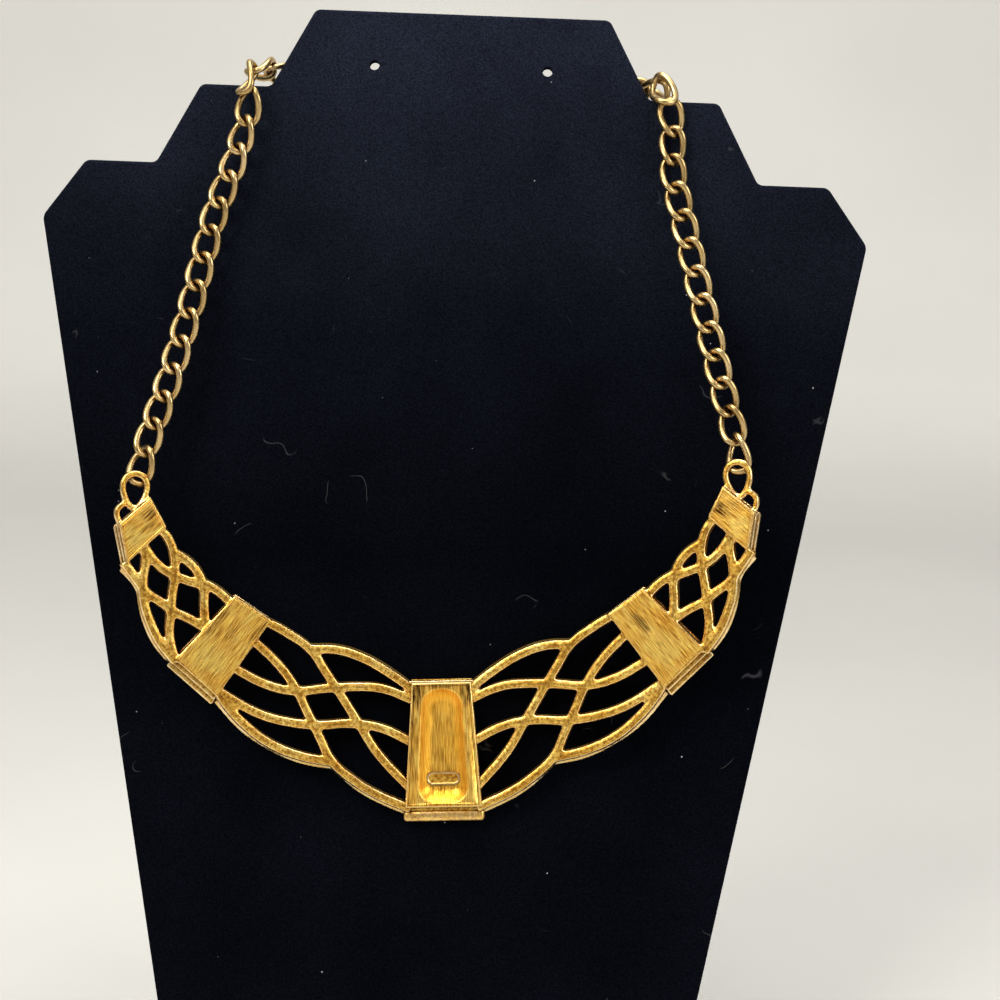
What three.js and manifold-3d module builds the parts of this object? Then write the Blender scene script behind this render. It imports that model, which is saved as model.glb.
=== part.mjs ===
// A bib necklace with its curb chain, hung reverse side out on a stepped display board.
// Millimetres, +Z up. The board faces -Y and leans back on its strut.
import * as THREE from "three";
import { mergeVertices } from "three/addons/utils/BufferGeometryUtils.js";
import Module from "manifold-3d";

const wasm = await Module();
wasm.setup();

// Display board, velvet over card. Half widths are measured from its middle line, heights from its foot.
const BOARD_HEIGHT = 270;
const BOARD_THICKNESS = 3.6;
const BOARD_LEAN = 12;
const BOARD_CORNER_RADIUS = 1.6;
const FOOT_HALF_WIDTH = 55.5;
const WIDEST_HALF_WIDTH = 96.2;
const WIDEST_HEIGHT = 219.5;
const SHOULDER_HALF_WIDTH = 86.6;
const SHOULDER_HEIGHT = 232.9;
const SHOULDER_STEP_HALF_WIDTH = 70.3;
const NECK_SHOULDER_HALF_WIDTH = 60.4;
const NECK_SHOULDER_HEIGHT = 251.6;
const NECK_HALF_WIDTH = 44.1;
const TOP_HALF_WIDTH = 34.3;
const EARRING_HOLE_DIAMETER = 2.4;
const EARRING_HOLE_SPACING = 40.4;
const EARRING_HOLE_DROP = 12.6;

// Strut behind the board
const STRUT_THICKNESS = 3;
const STRUT_TOP_WIDTH = 46;
const STRUT_FOOT_WIDTH = 72;
const STRUT_MEETING_HEIGHT = 185;
const STRUT_LEAN = 12;
const STRUT_SPARE = 20;
const SEAT_GAP = 0.3;

// Place of the bib on the board, from the middle of the centre plate's top edge, and its bend round the neck
const BIB_ACROSS = 1;
const BIB_UP = 114.6;
const BIB_TURN = 3.3;
const BIB_BEND_RADIUS = 260;

// Plates: a body with a drafted wall on a wider front tile
const BODY_BACK = 4.6;
const TILE_THICKNESS = 1.8;
const CENTRE_TOP_WIDTH = 14;
const CENTRE_FOOT_WIDTH = 18;
const CENTRE_HEIGHT = 28.8;
const CENTRE_BOW = 0.6;
const CENTRE_DRAFT = 1.4;
const CENTRE_TILE_TOP = 0.7;
const CENTRE_TILE_FOOT = 3.8;
const CENTRE_TILE_SIDE = 0.4;
const TROUGH_TOP_WIDTH = 10.4;
const TROUGH_FOOT_WIDTH = 12.2;
const TROUGH_DEPTH = 2.3;
const TROUGH_WALL_SLOPE = 1.7;
const TROUGH_RIM = 1.3;
const TROUGH_CORNER_RADIUS = 2.2;
const PLAQUE_WIDTH = 7.6;
const PLAQUE_HEIGHT = 2.6;
const PLAQUE_RELIEF = 0.4;
const PLAQUE_DROP = 22.3;

// The middle and end plates: the top edge's middle, the lean of the axis, the turn of each edge from
// square to it in degrees, and how far the front tile stands out past the body
const SIDE_PLATES = {
  middle: {
    across: 43.5, up: 18.2, lean: 40.8, height: 20.7, topWidth: 10.3, footWidth: 13,
    topTurn: -5.7, footTurn: 2.3, tileTop: 0.3, tileFoot: 2.3, tileSide: 0.3,
  },
  end: {
    across: 64.8, up: 40.6, lean: 50, height: 10.9, topWidth: 7.9, footWidth: 9.2,
    topTurn: 12.3, footTurn: 29.8, tileTop: 0.3, tileFoot: 1.2, tileSide: 0.3,
  },
};

// Ribs between the plates: a narrow back on a wider front strand, and a flat lip along the borders
const RIB_WIDTH = 2.2;
const RIB_BACK_WIDTH = 1.9;
const RIB_FRONT = 0.5;
const RIB_SHOULDER = 1.7;
const RIB_BACK = 4.1;
const LIP_WIDTH = 1.9;
const LIP_BACK = 1.5;
const STEP_LENGTH = 3.1;

// Teardrop loop on each end plate, with a small side arc
const LOOP_LENGTH = 9.6;
const LOOP_WIDTH = 7;
const LOOP_WIRE = 1.65;
const LOOP_TAPER = 0.28;
const LOOP_TILT = 4;
const ARC_START_SHARE = 0.97;
const ARC_BULGE_ACROSS = 1.3;
const ARC_BULGE_UP = 0.4;
const ARC_END_ACROSS = 2.6;
const ARC_END_DROP = 2.7;

// Curb chain
const LINK_INNER_LENGTH = 6.85;
const LINK_WIDTH = 6.6;
const LINK_WIRE = 1.36;
const LINK_CLEARANCE = 0.28;
const LINK_TWIST = 48;
const LINK_FULLNESS = 2.6;
const LINKS_LEFT = 23;
const LINKS_RIGHT = 21;
const RING_SEGMENTS = 12;
const WIRE_SIDES = 5;
const STEPS_BETWEEN_ROWS = 100;
const CLASP_LENGTH = 12.4;
const CLASP_WIDTH = 8;
const CLASP_WIRE = 1.6;
const CLASP_TURN = -60;

// Route of the chain on the board, each side from above its loop to the clasp: across, up, out of
// the board's front, and the direction that its flat side faces there
const ROUTE_LEFT = [
  { across: -68.6, up: 164, out: 9.8, faces: [-0.2, 0.2, 1] },
  { across: -66.9, up: 170.9, out: 10.5, faces: [0, -0.6, 0.9] },
  { across: -65.4, up: 175.8, out: 9.6, faces: [0, 0.3, 1] },
  { across: -60.5, up: 195.5, out: 7.2, faces: [0, 0, 1] },
  { across: -55.2, up: 221.2, out: 4.5, faces: [0, 0, 1] },
  { across: -51.4, up: 232.8, out: 4.4, faces: [-0.2, 0.1, 0.8] },
  { across: -48.4, up: 246.9, out: 4.4, faces: [-0.1, 1.4, 0.7] },
  { across: -48.8, up: 253.2, out: 3.3, faces: [-1.9, -0.3, 0.5] },
  { across: -44.9, up: 255.9, out: -3.4, faces: [-0.7, 1.3, 0.1] },
  { across: -39, up: 254.6, out: -8.8, faces: [0.3, -0.4, -1] },
  { across: -27.7, up: 248.3, out: -9.3, faces: [1.5, 1.4, -1.1] },
  { across: -5, up: 244.5, out: -7, faces: [-0.2, 0.4, -1.3] },
];
const ROUTE_RIGHT = [
  { across: 66.5, up: 172.1, out: 9.8, faces: [-0.6, -0.4, 0.7] },
  { across: 64.5, up: 178.4, out: 9.6, faces: [-0.2, 0.4, 0.9] },
  { across: 59.5, up: 197.2, out: 7.2, faces: [0, 0, 1] },
  { across: 53.1, up: 221.9, out: 4.5, faces: [0, 0, 1] },
  { across: 50, up: 234.6, out: 3.4, faces: [0, 0, 1] },
  { across: 49.3, up: 247, out: 2.2, faces: [0.4, 0.1, 1.5] },
  { across: 46.5, up: 254.2, out: 2.2, faces: [-0.7, 0.7, 0.4] },
  { across: 45.5, up: 254.9, out: -4.5, faces: [0.8, 0.4, 0.3] },
  { across: 38.5, up: 254.5, out: -7.8, faces: [0.1, 0.8, -0.9] },
  { across: 26.5, up: 249, out: -8.8, faces: [0.4, 0.1, -1.3] },
  { across: 6, up: 244.8, out: -7.3, faces: [-0.2, 0, -1] },
];

// Rib routes as shares of their panel: u from the plate nearer the middle to the next plate, v from the
// neckline edge to the lower edge. The lip rows run outside a border rib.
const INNER_RIBS = [
  { name: "neckline_strand", route: [[1.03, 0.035], [0.88, 0.055], [0.69, 0.115], [0.56, 0.245],
    [0.42, 0.405], [0.3, 0.555], [0.17, 0.725], [-0.03, 0.875]] },
  { name: "neckline_arch", route: [[0.7, 0.115], [0.53, 0.005], [0.36, -0.025], [0.19, -0.005],
    [-0.03, 0.055]] },
  { name: "upper_strand", route: [[1.03, 0.645], [0.81, 0.635], [0.67, 0.555], [0.53, 0.405],
    [0.37, 0.265], [0.2, 0.165], [-0.03, 0.135]] },
  { name: "diagonal_strand", route: [[1.03, 0.275], [0.81, 0.405], [0.68, 0.535], [0.57, 0.705],
    [0.48, 0.855], [0.39, 1.005], [0.27, 1.065], [0.15, 1.075], [-0.03, 1.035]] },
  { name: "lower_strand", route: [[1.03, 0.935], [0.8, 0.945], [0.65, 0.875], [0.5, 0.755],
    [0.35, 0.605], [0.18, 0.505], [-0.03, 0.485]] },
  { name: "lower_arch", route: [[1.02, 0.935], [0.95, 1.015], [0.82, 1.115], [0.68, 1.155],
    [0.54, 1.115], [0.39, 1.015]] },
];
const INNER_LIPS = [
  { name: "lower_arch_lip", route: [[0.99, 1.03], [0.82, 1.16], [0.67, 1.19], [0.52, 1.15],
    [0.38, 1.05]] },
  { name: "lower_lip", route: [[0.38, 1.05], [0.28, 1.1], [0.2, 1.12], [0.1, 1.11], [-0.02, 1.08]] },
];
const OUTER_RIBS = [
  { name: "neckline_strand", route: [[1.05, 0.11], [0.9, 0.12], [0.76, 0.21], [0.6, 0.4],
    [0.47, 0.6], [0.34, 0.77], [0.2, 0.92], [-0.03, 1.01]] },
  { name: "neckline_arch", route: [[0.75, 0.2], [0.56, 0.13], [0.4, 0.15], [0.26, 0.24],
    [0.15, 0.36], [-0.03, 0.51]] },
  { name: "neckline_foot", route: [[0.33, 0.18], [0.16, 0.11], [-0.05, 0.09]] },
  { name: "upper_strand", route: [[1.05, 0.55], [0.78, 0.53], [0.61, 0.44], [0.46, 0.32],
    [0.31, 0.2]] },
  { name: "lower_strand", route: [[1.03, 1.03], [0.81, 0.96], [0.65, 0.91], [0.49, 0.8],
    [0.33, 0.71], [0.18, 0.6], [-0.03, 0.49]] },
  { name: "lower_arch", route: [[1.06, 0.55], [0.92, 0.64], [0.78, 0.86], [0.63, 1.01],
    [0.44, 1.07], [0.24, 1.07], [-0.03, 1]] },
];
const OUTER_LIPS = [
  { name: "end_lip", route: [[0.99, 1.09], [0.79, 0.99], [0.7, 0.99]] },
  { name: "lower_arch_lip", route: [[0.7, 0.99], [0.61, 1.05], [0.44, 1.11], [0.24, 1.11],
    [0.03, 1.05]] },
];

const gold = new THREE.MeshStandardMaterial({ color: 0xd9a63c, roughness: 0.32, metalness: 1 });
const paleGold = new THREE.MeshStandardMaterial({ color: 0xd8b978, roughness: 0.24, metalness: 1 });
const velvet = new THREE.MeshStandardMaterial({ color: 0x07080d, roughness: 0.95, metalness: 0 });
const card = new THREE.MeshStandardMaterial({ color: 0x101114, roughness: 0.9, metalness: 0 });

const MERGE_DISTANCE = 1e-4;

// A closed mesh as a solid for joining and cutting
function solidOf(geometry) {
  const bare = geometry.clone();
  bare.deleteAttribute("normal");
  bare.deleteAttribute("uv");
  const merged = mergeVertices(bare, MERGE_DISTANCE);
  const vertProperties = new Float32Array(merged.attributes.position.array);
  const triVerts = new Uint32Array(merged.index.array);
  return new wasm.Manifold(new wasm.Mesh({ numProp: 3, vertProperties, triVerts }));
}

function geometryOf(solid) {
  const mesh = solid.getMesh();
  const geometry = new THREE.BufferGeometry();
  geometry.setAttribute("position", new THREE.BufferAttribute(mesh.vertProperties.slice(), 3));
  geometry.setIndex(new THREE.BufferAttribute(mesh.triVerts.slice(), 1));
  return geometry;
}

function joined(solids) {
  return solids.reduce((whole, solid) => whole.add(solid));
}

function named(name, geometry, material) {
  geometry.computeVertexNormals();
  const mesh = new THREE.Mesh(geometry, material);
  mesh.name = name;
  return mesh;
}

const radians = THREE.MathUtils.degToRad;

// A closed outline through corner points, each corner rounded by its own radius (0 leaves it sharp)
function roundedShape(corners) {
  const shape = new THREE.Shape();
  const count = corners.length;
  for (let i = 0; i < count; i++) {
    const corner = corners[i];
    const at = new THREE.Vector2(corner.x, corner.y);
    const before = corners[(i + count - 1) % count];
    const after = corners[(i + 1) % count];
    const toBefore = new THREE.Vector2(before.x, before.y).sub(at).normalize();
    const toAfter = new THREE.Vector2(after.x, after.y).sub(at).normalize();
    const start = at.clone().addScaledVector(toBefore, corner.radius);
    const end = at.clone().addScaledVector(toAfter, corner.radius);
    if (i === 0) shape.moveTo(start.x, start.y);
    else shape.lineTo(start.x, start.y);
    if (corner.radius > 0) shape.quadraticCurveTo(at.x, at.y, end.x, end.y);
  }
  shape.closePath();
  return shape;
}

// An outline raised from z = low to z = high, its lower end spread by a share of each length from the origin
function drafted(shape, low, high, spreadX, spreadY, curveSegments = 3) {
  const depth = high - low;
  const geometry = new THREE.ExtrudeGeometry(shape, { depth, bevelEnabled: false, curveSegments });
  const place = geometry.attributes.position;
  for (let i = 0; i < place.count; i++) {
    if (place.getZ(i) < depth / 2) {
      place.setX(i, place.getX(i) * spreadX);
      place.setY(i, place.getY(i) * spreadY);
    }
  }
  return geometry.translate(0, 0, low);
}

// The stepped board, standing on its foot in its own plane: x across, y up, z out of its front face
function boardGeometry() {
  const half = [
    { x: FOOT_HALF_WIDTH, y: -BOARD_THICKNESS, radius: 0 },
    { x: WIDEST_HALF_WIDTH, y: WIDEST_HEIGHT, radius: BOARD_CORNER_RADIUS },
    { x: SHOULDER_HALF_WIDTH, y: SHOULDER_HEIGHT, radius: BOARD_CORNER_RADIUS },
    { x: SHOULDER_STEP_HALF_WIDTH, y: SHOULDER_HEIGHT, radius: BOARD_CORNER_RADIUS },
    { x: NECK_SHOULDER_HALF_WIDTH, y: NECK_SHOULDER_HEIGHT, radius: BOARD_CORNER_RADIUS },
    { x: NECK_HALF_WIDTH, y: NECK_SHOULDER_HEIGHT, radius: BOARD_CORNER_RADIUS },
    { x: TOP_HALF_WIDTH, y: BOARD_HEIGHT, radius: BOARD_CORNER_RADIUS },
  ];
  const mirrored = half.map((corner) => ({ ...corner, x: -corner.x })).reverse();
  const shape = roundedShape([...half, ...mirrored]);
  for (const side of [-1, 1]) {
    const hole = new THREE.Path();
    const holeUp = BOARD_HEIGHT - EARRING_HOLE_DROP;
    hole.absarc((side * EARRING_HOLE_SPACING) / 2, holeUp, EARRING_HOLE_DIAMETER / 2, 0, 2 * Math.PI);
    shape.holes.push(hole);
  }
  const geometry = new THREE.ExtrudeGeometry(shape, {
    depth: BOARD_THICKNESS, bevelEnabled: false, curveSegments: 4,
  });
  return geometry.translate(0, 0, -BOARD_THICKNESS);
}

// Board frame to world: the front foot edge on the floor, the face leaning back
const boardToWorld = new THREE.Matrix4().makeRotationX(Math.PI / 2 - radians(BOARD_LEAN));
const worldToBoard = boardToWorld.clone().invert();

// The part of the world below the floor, as a solid in the board's frame
function belowFloor() {
  const span = 3 * BOARD_HEIGHT;
  const block = new THREE.BoxGeometry(span, span, span).translate(0, 0, -span / 2);
  return solidOf(block.applyMatrix4(worldToBoard));
}

// The strut, made upright and a little too long, leaned forwards, and cut at the floor and at the
// board's back
function strutGeometry() {
  const shape = new THREE.Shape([
    new THREE.Vector2(-STRUT_FOOT_WIDTH / 2, -STRUT_SPARE),
    new THREE.Vector2(STRUT_FOOT_WIDTH / 2, -STRUT_SPARE),
    new THREE.Vector2(STRUT_TOP_WIDTH / 2, STRUT_MEETING_HEIGHT + STRUT_SPARE),
    new THREE.Vector2(-STRUT_TOP_WIDTH / 2, STRUT_MEETING_HEIGHT + STRUT_SPARE),
  ]);
  const meetingY = STRUT_MEETING_HEIGHT * Math.tan(radians(BOARD_LEAN));
  const footY = meetingY + BOARD_THICKNESS + STRUT_MEETING_HEIGHT * Math.tan(radians(STRUT_LEAN));
  const geometry = new THREE.ExtrudeGeometry(shape, { depth: STRUT_THICKNESS, bevelEnabled: false });
  geometry.rotateX(Math.PI / 2 + radians(STRUT_LEAN)).translate(0, footY, 0).applyMatrix4(worldToBoard);
  const span = 3 * BOARD_HEIGHT;
  const before = new THREE.BoxGeometry(span, span, span);
  before.translate(0, 0, span / 2 - BOARD_THICKNESS - SEAT_GAP);
  return geometryOf(solidOf(geometry).subtract(belowFloor()).subtract(solidOf(before)));
}

// Corners of a side plate's body in the bib's flat frame: top edge at the neckline, foot edge at the
// lower border
function plateFrame(plate) {
  const lean = radians(plate.lean);
  const top = new THREE.Vector2(plate.across, plate.up);
  const down = new THREE.Vector2(Math.sin(lean), -Math.cos(lean));
  const foot = top.clone().addScaledVector(down, plate.height);
  const along = (turn) => {
    const angle = lean + radians(turn);
    return new THREE.Vector2(Math.cos(angle), Math.sin(angle));
  };
  const topHalf = along(plate.topTurn).multiplyScalar(plate.topWidth / 2);
  const footHalf = along(plate.footTurn).multiplyScalar(plate.footWidth / 2);
  return {
    topInner: top.clone().sub(topHalf),
    topOuter: top.clone().add(topHalf),
    footInner: foot.clone().sub(footHalf),
    footOuter: foot.clone().add(footHalf),
  };
}

const middleFrame = plateFrame(SIDE_PLATES.middle);
const endFrame = plateFrame(SIDE_PLATES.end);
const innerPanel = {
  nearTop: new THREE.Vector2(CENTRE_TOP_WIDTH / 2, 0),
  nearFoot: new THREE.Vector2(CENTRE_FOOT_WIDTH / 2, -CENTRE_HEIGHT + CENTRE_DRAFT),
  farTop: middleFrame.topInner,
  farFoot: middleFrame.footInner,
};
const outerPanel = {
  nearTop: middleFrame.topOuter,
  nearFoot: middleFrame.footOuter,
  farTop: endFrame.topInner,
  farFoot: endFrame.footInner,
};

function inPanel(panel, [u, v]) {
  const top = panel.nearTop.clone().lerp(panel.farTop, u);
  const foot = panel.nearFoot.clone().lerp(panel.farFoot, u);
  return top.lerp(foot, v);
}

// A bar swept along a route in the bib's plane. The section is given as depth from the velvet and
// distance across.
function sweptBar(route, section) {
  const curve = new THREE.CatmullRomCurve3(route.map((point) => new THREE.Vector3(point.x, point.y, 0)));
  const steps = Math.max(3, Math.round(curve.getLength() / STEP_LENGTH));
  const shape = new THREE.Shape(section.map(([depth, across]) => new THREE.Vector2(-depth, across)));
  return solidOf(new THREE.ExtrudeGeometry(shape, { steps, extrudePath: curve, bevelEnabled: false }));
}

const RIB_SECTION = [
  [RIB_FRONT, -RIB_BACK_WIDTH / 2],
  [RIB_SHOULDER, -RIB_WIDTH / 2],
  [RIB_BACK, -RIB_BACK_WIDTH / 2],
  [RIB_BACK, RIB_BACK_WIDTH / 2],
  [RIB_SHOULDER, RIB_WIDTH / 2],
  [RIB_FRONT, RIB_BACK_WIDTH / 2],
];
const LIP_SECTION = [
  [RIB_FRONT, -LIP_WIDTH / 2],
  [LIP_BACK, -LIP_WIDTH / 2],
  [LIP_BACK, LIP_WIDTH / 2],
  [RIB_FRONT, LIP_WIDTH / 2],
];

function panelBars(panel, ribs, lips) {
  const bar = (row, section) => sweptBar(row.route.map((share) => inPanel(panel, share)), section);
  return [...ribs.map((row) => bar(row, RIB_SECTION)), ...lips.map((row) => bar(row, LIP_SECTION))];
}

// A side plate: drafted body and its wider front tile, both in the bib's flat frame
function sidePlateSolids(plate) {
  const frame = plateFrame(plate);
  const middle = new THREE.Vector2();
  for (const corner of Object.values(frame)) middle.addScaledVector(corner, 0.25);
  const shapeOf = (topOut, footOut, sideOut) => {
    const downTop = frame.footInner.clone().sub(frame.topInner).normalize();
    const downFoot = frame.footOuter.clone().sub(frame.topOuter).normalize();
    const acrossTop = frame.topOuter.clone().sub(frame.topInner).normalize();
    const acrossFoot = frame.footOuter.clone().sub(frame.footInner).normalize();
    const corners = [
      frame.topInner.clone().addScaledVector(downTop, -topOut).addScaledVector(acrossTop, -sideOut),
      frame.footInner.clone().addScaledVector(downTop, footOut).addScaledVector(acrossFoot, -sideOut),
      frame.footOuter.clone().addScaledVector(downFoot, footOut).addScaledVector(acrossFoot, sideOut),
      frame.topOuter.clone().addScaledVector(downFoot, -topOut).addScaledVector(acrossTop, sideOut),
    ];
    return new THREE.Shape(corners.map((corner) => corner.sub(middle)));
  };
  const bodyBase = TILE_THICKNESS / 2;
  const spread = 1 + (2 * plate.tileSide) / plate.footWidth;
  const body = drafted(shapeOf(0, 0, 0), bodyBase, BODY_BACK, spread, spread);
  const tileShape = shapeOf(plate.tileTop, plate.tileFoot, plate.tileSide);
  const tile = drafted(tileShape, 0, TILE_THICKNESS, 1 / spread, 1 / spread);
  return [body, tile].map((geometry) => solidOf(geometry.translate(middle.x, middle.y, 0)));
}

// The centre plate: body with a bowed foot, tile, trough cut into its back, and the bare plaque on
// the trough's floor
function centrePlateSolid() {
  const topHalf = CENTRE_TOP_WIDTH / 2;
  const footHalf = CENTRE_FOOT_WIDTH / 2;
  const body = roundedShape([
    { x: -topHalf, y: 0, radius: 0 },
    { x: -footHalf, y: -CENTRE_HEIGHT + CENTRE_BOW, radius: CENTRE_BOW * 2 },
    { x: 0, y: -CENTRE_HEIGHT - CENTRE_BOW, radius: CENTRE_BOW * 2 },
    { x: footHalf, y: -CENTRE_HEIGHT + CENTRE_BOW, radius: CENTRE_BOW * 2 },
    { x: topHalf, y: 0, radius: 0 },
  ]);
  const tile = roundedShape([
    { x: -topHalf - CENTRE_TILE_SIDE, y: CENTRE_TILE_TOP, radius: CENTRE_TILE_TOP },
    { x: -footHalf - CENTRE_TILE_SIDE, y: -CENTRE_HEIGHT - CENTRE_TILE_FOOT, radius: CENTRE_DRAFT },
    { x: footHalf + CENTRE_TILE_SIDE, y: -CENTRE_HEIGHT - CENTRE_TILE_FOOT, radius: CENTRE_DRAFT },
    { x: topHalf + CENTRE_TILE_SIDE, y: CENTRE_TILE_TOP, radius: CENTRE_TILE_TOP },
  ]);
  const troughMiddle = -CENTRE_HEIGHT / 2;
  const troughTop = -TROUGH_RIM - troughMiddle;
  const troughFoot = -CENTRE_HEIGHT + CENTRE_BOW - troughMiddle;
  const trough = roundedShape([
    { x: -TROUGH_TOP_WIDTH / 2, y: troughTop, radius: TROUGH_CORNER_RADIUS },
    { x: -TROUGH_FOOT_WIDTH / 2, y: troughFoot, radius: CENTRE_BOW },
    { x: TROUGH_FOOT_WIDTH / 2, y: troughFoot, radius: CENTRE_BOW },
    { x: TROUGH_TOP_WIDTH / 2, y: troughTop, radius: TROUGH_CORNER_RADIUS },
  ]);
  const spreadY = 1 + CENTRE_DRAFT / CENTRE_HEIGHT;
  const floor = BODY_BACK - TROUGH_DEPTH;
  const floorShareX = 1 - (2 * TROUGH_WALL_SLOPE) / TROUGH_FOOT_WIDTH;
  const floorShareY = 1 - TROUGH_WALL_SLOPE / CENTRE_HEIGHT;
  const above = TROUGH_DEPTH * 2;
  const cutter = drafted(trough, floor, floor + above, 2 * floorShareX - 1, 2 * floorShareY - 1);
  cutter.translate(0, troughMiddle, 0);
  const plaque = new THREE.Shape();
  const endRadius = PLAQUE_HEIGHT / 2;
  const straight = PLAQUE_WIDTH / 2 - endRadius;
  plaque.absarc(straight, 0, endRadius, -Math.PI / 2, Math.PI / 2);
  plaque.absarc(-straight, 0, endRadius, Math.PI / 2, (3 * Math.PI) / 2);
  const plaqueSolid = drafted(plaque, floor - PLAQUE_RELIEF, floor + PLAQUE_RELIEF, 1, 1, 4);
  plaqueSolid.translate(0, -PLAQUE_DROP, 0);
  return solidOf(drafted(body, TILE_THICKNESS / 2, BODY_BACK, 1, spreadY))
    .add(solidOf(drafted(tile, 0, TILE_THICKNESS, 1, 1)))
    .subtract(solidOf(cutter))
    .add(solidOf(plaqueSolid));
}

// A closed wire ring whose middle line is given by its angle, made from a torus
function wireRing(middleLine, wire, segments) {
  const geometry = new THREE.TorusGeometry(1, wire / 2, WIRE_SIDES, segments);
  const place = geometry.attributes.position;
  const step = 1e-3;
  for (let i = 0; i < place.count; i++) {
    const point = new THREE.Vector3().fromBufferAttribute(place, i);
    const angle = Math.atan2(point.y, point.x);
    const outward = Math.hypot(point.x, point.y) - 1;
    const middle = middleLine(angle);
    const ahead = middleLine(angle + step).sub(middle).normalize();
    place.setXYZ(i, middle.x + ahead.y * outward, middle.y - ahead.x * outward, point.z);
  }
  return geometry;
}

// The teardrop loop and its side arc on the end plate's upper edge
function loopPlace() {
  const seat = endFrame.topOuter.clone().lerp(endFrame.footOuter, 0.5);
  const tilt = radians(LOOP_TILT);
  const reach = (LOOP_LENGTH - LOOP_WIRE) / 2 + LOOP_WIRE / 4;
  return seat.add(new THREE.Vector2(-Math.sin(tilt), Math.cos(tilt)).multiplyScalar(reach));
}

const LOOP_MIDDLE_DEPTH = (RIB_SHOULDER + RIB_BACK) / 2;

function loopSolids() {
  const halfLength = (LOOP_LENGTH - LOOP_WIRE) / 2;
  const halfWidth = (LOOP_WIDTH - LOOP_WIRE) / 2;
  const teardrop = (angle) => new THREE.Vector2(
    halfWidth * Math.cos(angle) * (1 + LOOP_TAPER * Math.sin(angle)),
    halfLength * Math.sin(angle),
  );
  const centre = loopPlace();
  const ring = wireRing(teardrop, LOOP_WIRE, RING_SEGMENTS);
  ring.rotateZ(radians(LOOP_TILT)).translate(centre.x, centre.y, LOOP_MIDDLE_DEPTH);
  const start = endFrame.topOuter.clone().lerp(endFrame.footOuter, ARC_START_SHARE);
  const finish = centre.clone().add(new THREE.Vector2(ARC_END_ACROSS, -ARC_END_DROP));
  const swing = start.clone().lerp(finish, 0.5).add(new THREE.Vector2(ARC_BULGE_ACROSS, ARC_BULGE_UP));
  const arc = sweptBar([start, swing, finish], RIB_SECTION);
  return [solidOf(ring), arc];
}

// Bends a flat shape round an upright axis in front of its back, the ends coming forwards
function bent(geometry) {
  const place = geometry.attributes.position;
  for (let i = 0; i < place.count; i++) {
    const [x, y, z] = bentPoint(place.getX(i), place.getY(i), place.getZ(i));
    place.setXYZ(i, x, y, z);
  }
  return geometry;
}

function bentPoint(x, y, z) {
  const angle = x / BIB_BEND_RADIUS;
  const radius = BIB_BEND_RADIUS - z;
  return [radius * Math.sin(angle), y, BIB_BEND_RADIUS - radius * Math.cos(angle)];
}

function bibGeometry() {
  const oneSide = joined([
    ...sidePlateSolids(SIDE_PLATES.middle),
    ...sidePlateSolids(SIDE_PLATES.end),
    ...panelBars(innerPanel, INNER_RIBS, INNER_LIPS),
    ...panelBars(outerPanel, OUTER_RIBS, OUTER_LIPS),
    ...loopSolids(),
  ]);
  const otherSide = geometryOf(oneSide).toNonIndexed().scale(-1, 1, 1);
  const place = otherSide.attributes.position;
  for (let i = 0; i < place.count; i += 3) {
    const second = new THREE.Vector3().fromBufferAttribute(place, i + 1);
    const third = new THREE.Vector3().fromBufferAttribute(place, i + 2);
    place.setXYZ(i + 1, third.x, third.y, third.z);
    place.setXYZ(i + 2, second.x, second.y, second.z);
  }
  return bent(geometryOf(centrePlateSolid().add(oneSide).add(solidOf(otherSide))));
}

// The middle line of a rounded oval, fuller than an ellipse at its ends
function fullOval(length, width, wire) {
  const power = 2 / LINK_FULLNESS;
  const full = (share) => Math.sign(share) * Math.abs(share) ** power;
  return (angle) => new THREE.Vector2(
    ((width - wire) / 2) * full(Math.cos(angle)),
    ((length - wire) / 2) * full(Math.sin(angle)),
  );
}

// One curb link: an oval wire ring twisted about its length, its length along y
function linkGeometry() {
  const length = LINK_INNER_LENGTH + 2 * LINK_WIRE;
  const halfLength = length / 2;
  const geometry = wireRing(fullOval(length, LINK_WIDTH, LINK_WIRE), LINK_WIRE, RING_SEGMENTS);
  const place = geometry.attributes.position;
  for (let i = 0; i < place.count; i++) {
    const turn = (place.getY(i) / halfLength) * radians(LINK_TWIST);
    const x = place.getX(i);
    const z = place.getZ(i);
    place.setX(i, x * Math.cos(turn) - z * Math.sin(turn));
    place.setZ(i, x * Math.sin(turn) + z * Math.cos(turn));
  }
  return geometry;
}

// Turns a piece so that its y runs along the chain and its z looks out of the chain's flat side
function alongChain(at, ahead, facing) {
  const up = ahead.clone().normalize();
  const side = new THREE.Vector3().crossVectors(up, facing).normalize();
  const out = new THREE.Vector3().crossVectors(side, up);
  return new THREE.Matrix4().makeBasis(side, up, out).setPosition(at);
}

// Places of the links of one side: equal steps of one pitch along the route, from the loop to the clasp
function chainSide(route, loop, count) {
  const points = route.map((row) => new THREE.Vector3(row.across, row.up, row.out));
  const curve = new THREE.CatmullRomCurve3([loop, ...points]);
  const faces = [route[0], ...route].map((row) => new THREE.Vector3(...row.faces));
  const samples = STEPS_BETWEEN_ROWS * route.length;
  const pitch = LINK_INNER_LENGTH - LINK_CLEARANCE;
  const firstPitch = (LINK_INNER_LENGTH + LOOP_LENGTH) / 2 - LOOP_WIRE - LINK_CLEARANCE;
  const places = [];
  let last = loop;
  for (let i = 1; i <= samples && places.length < count; i++) {
    const share = i / samples;
    const at = curve.getPoint(share);
    if (at.distanceTo(last) < (places.length === 0 ? firstPitch : pitch)) continue;
    const row = Math.min(Math.floor(share * route.length), route.length - 1);
    const facing = faces[row].clone().lerp(faces[row + 1], share * route.length - row);
    places.push({ at, facing });
    last = at;
  }
  return places;
}

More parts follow.
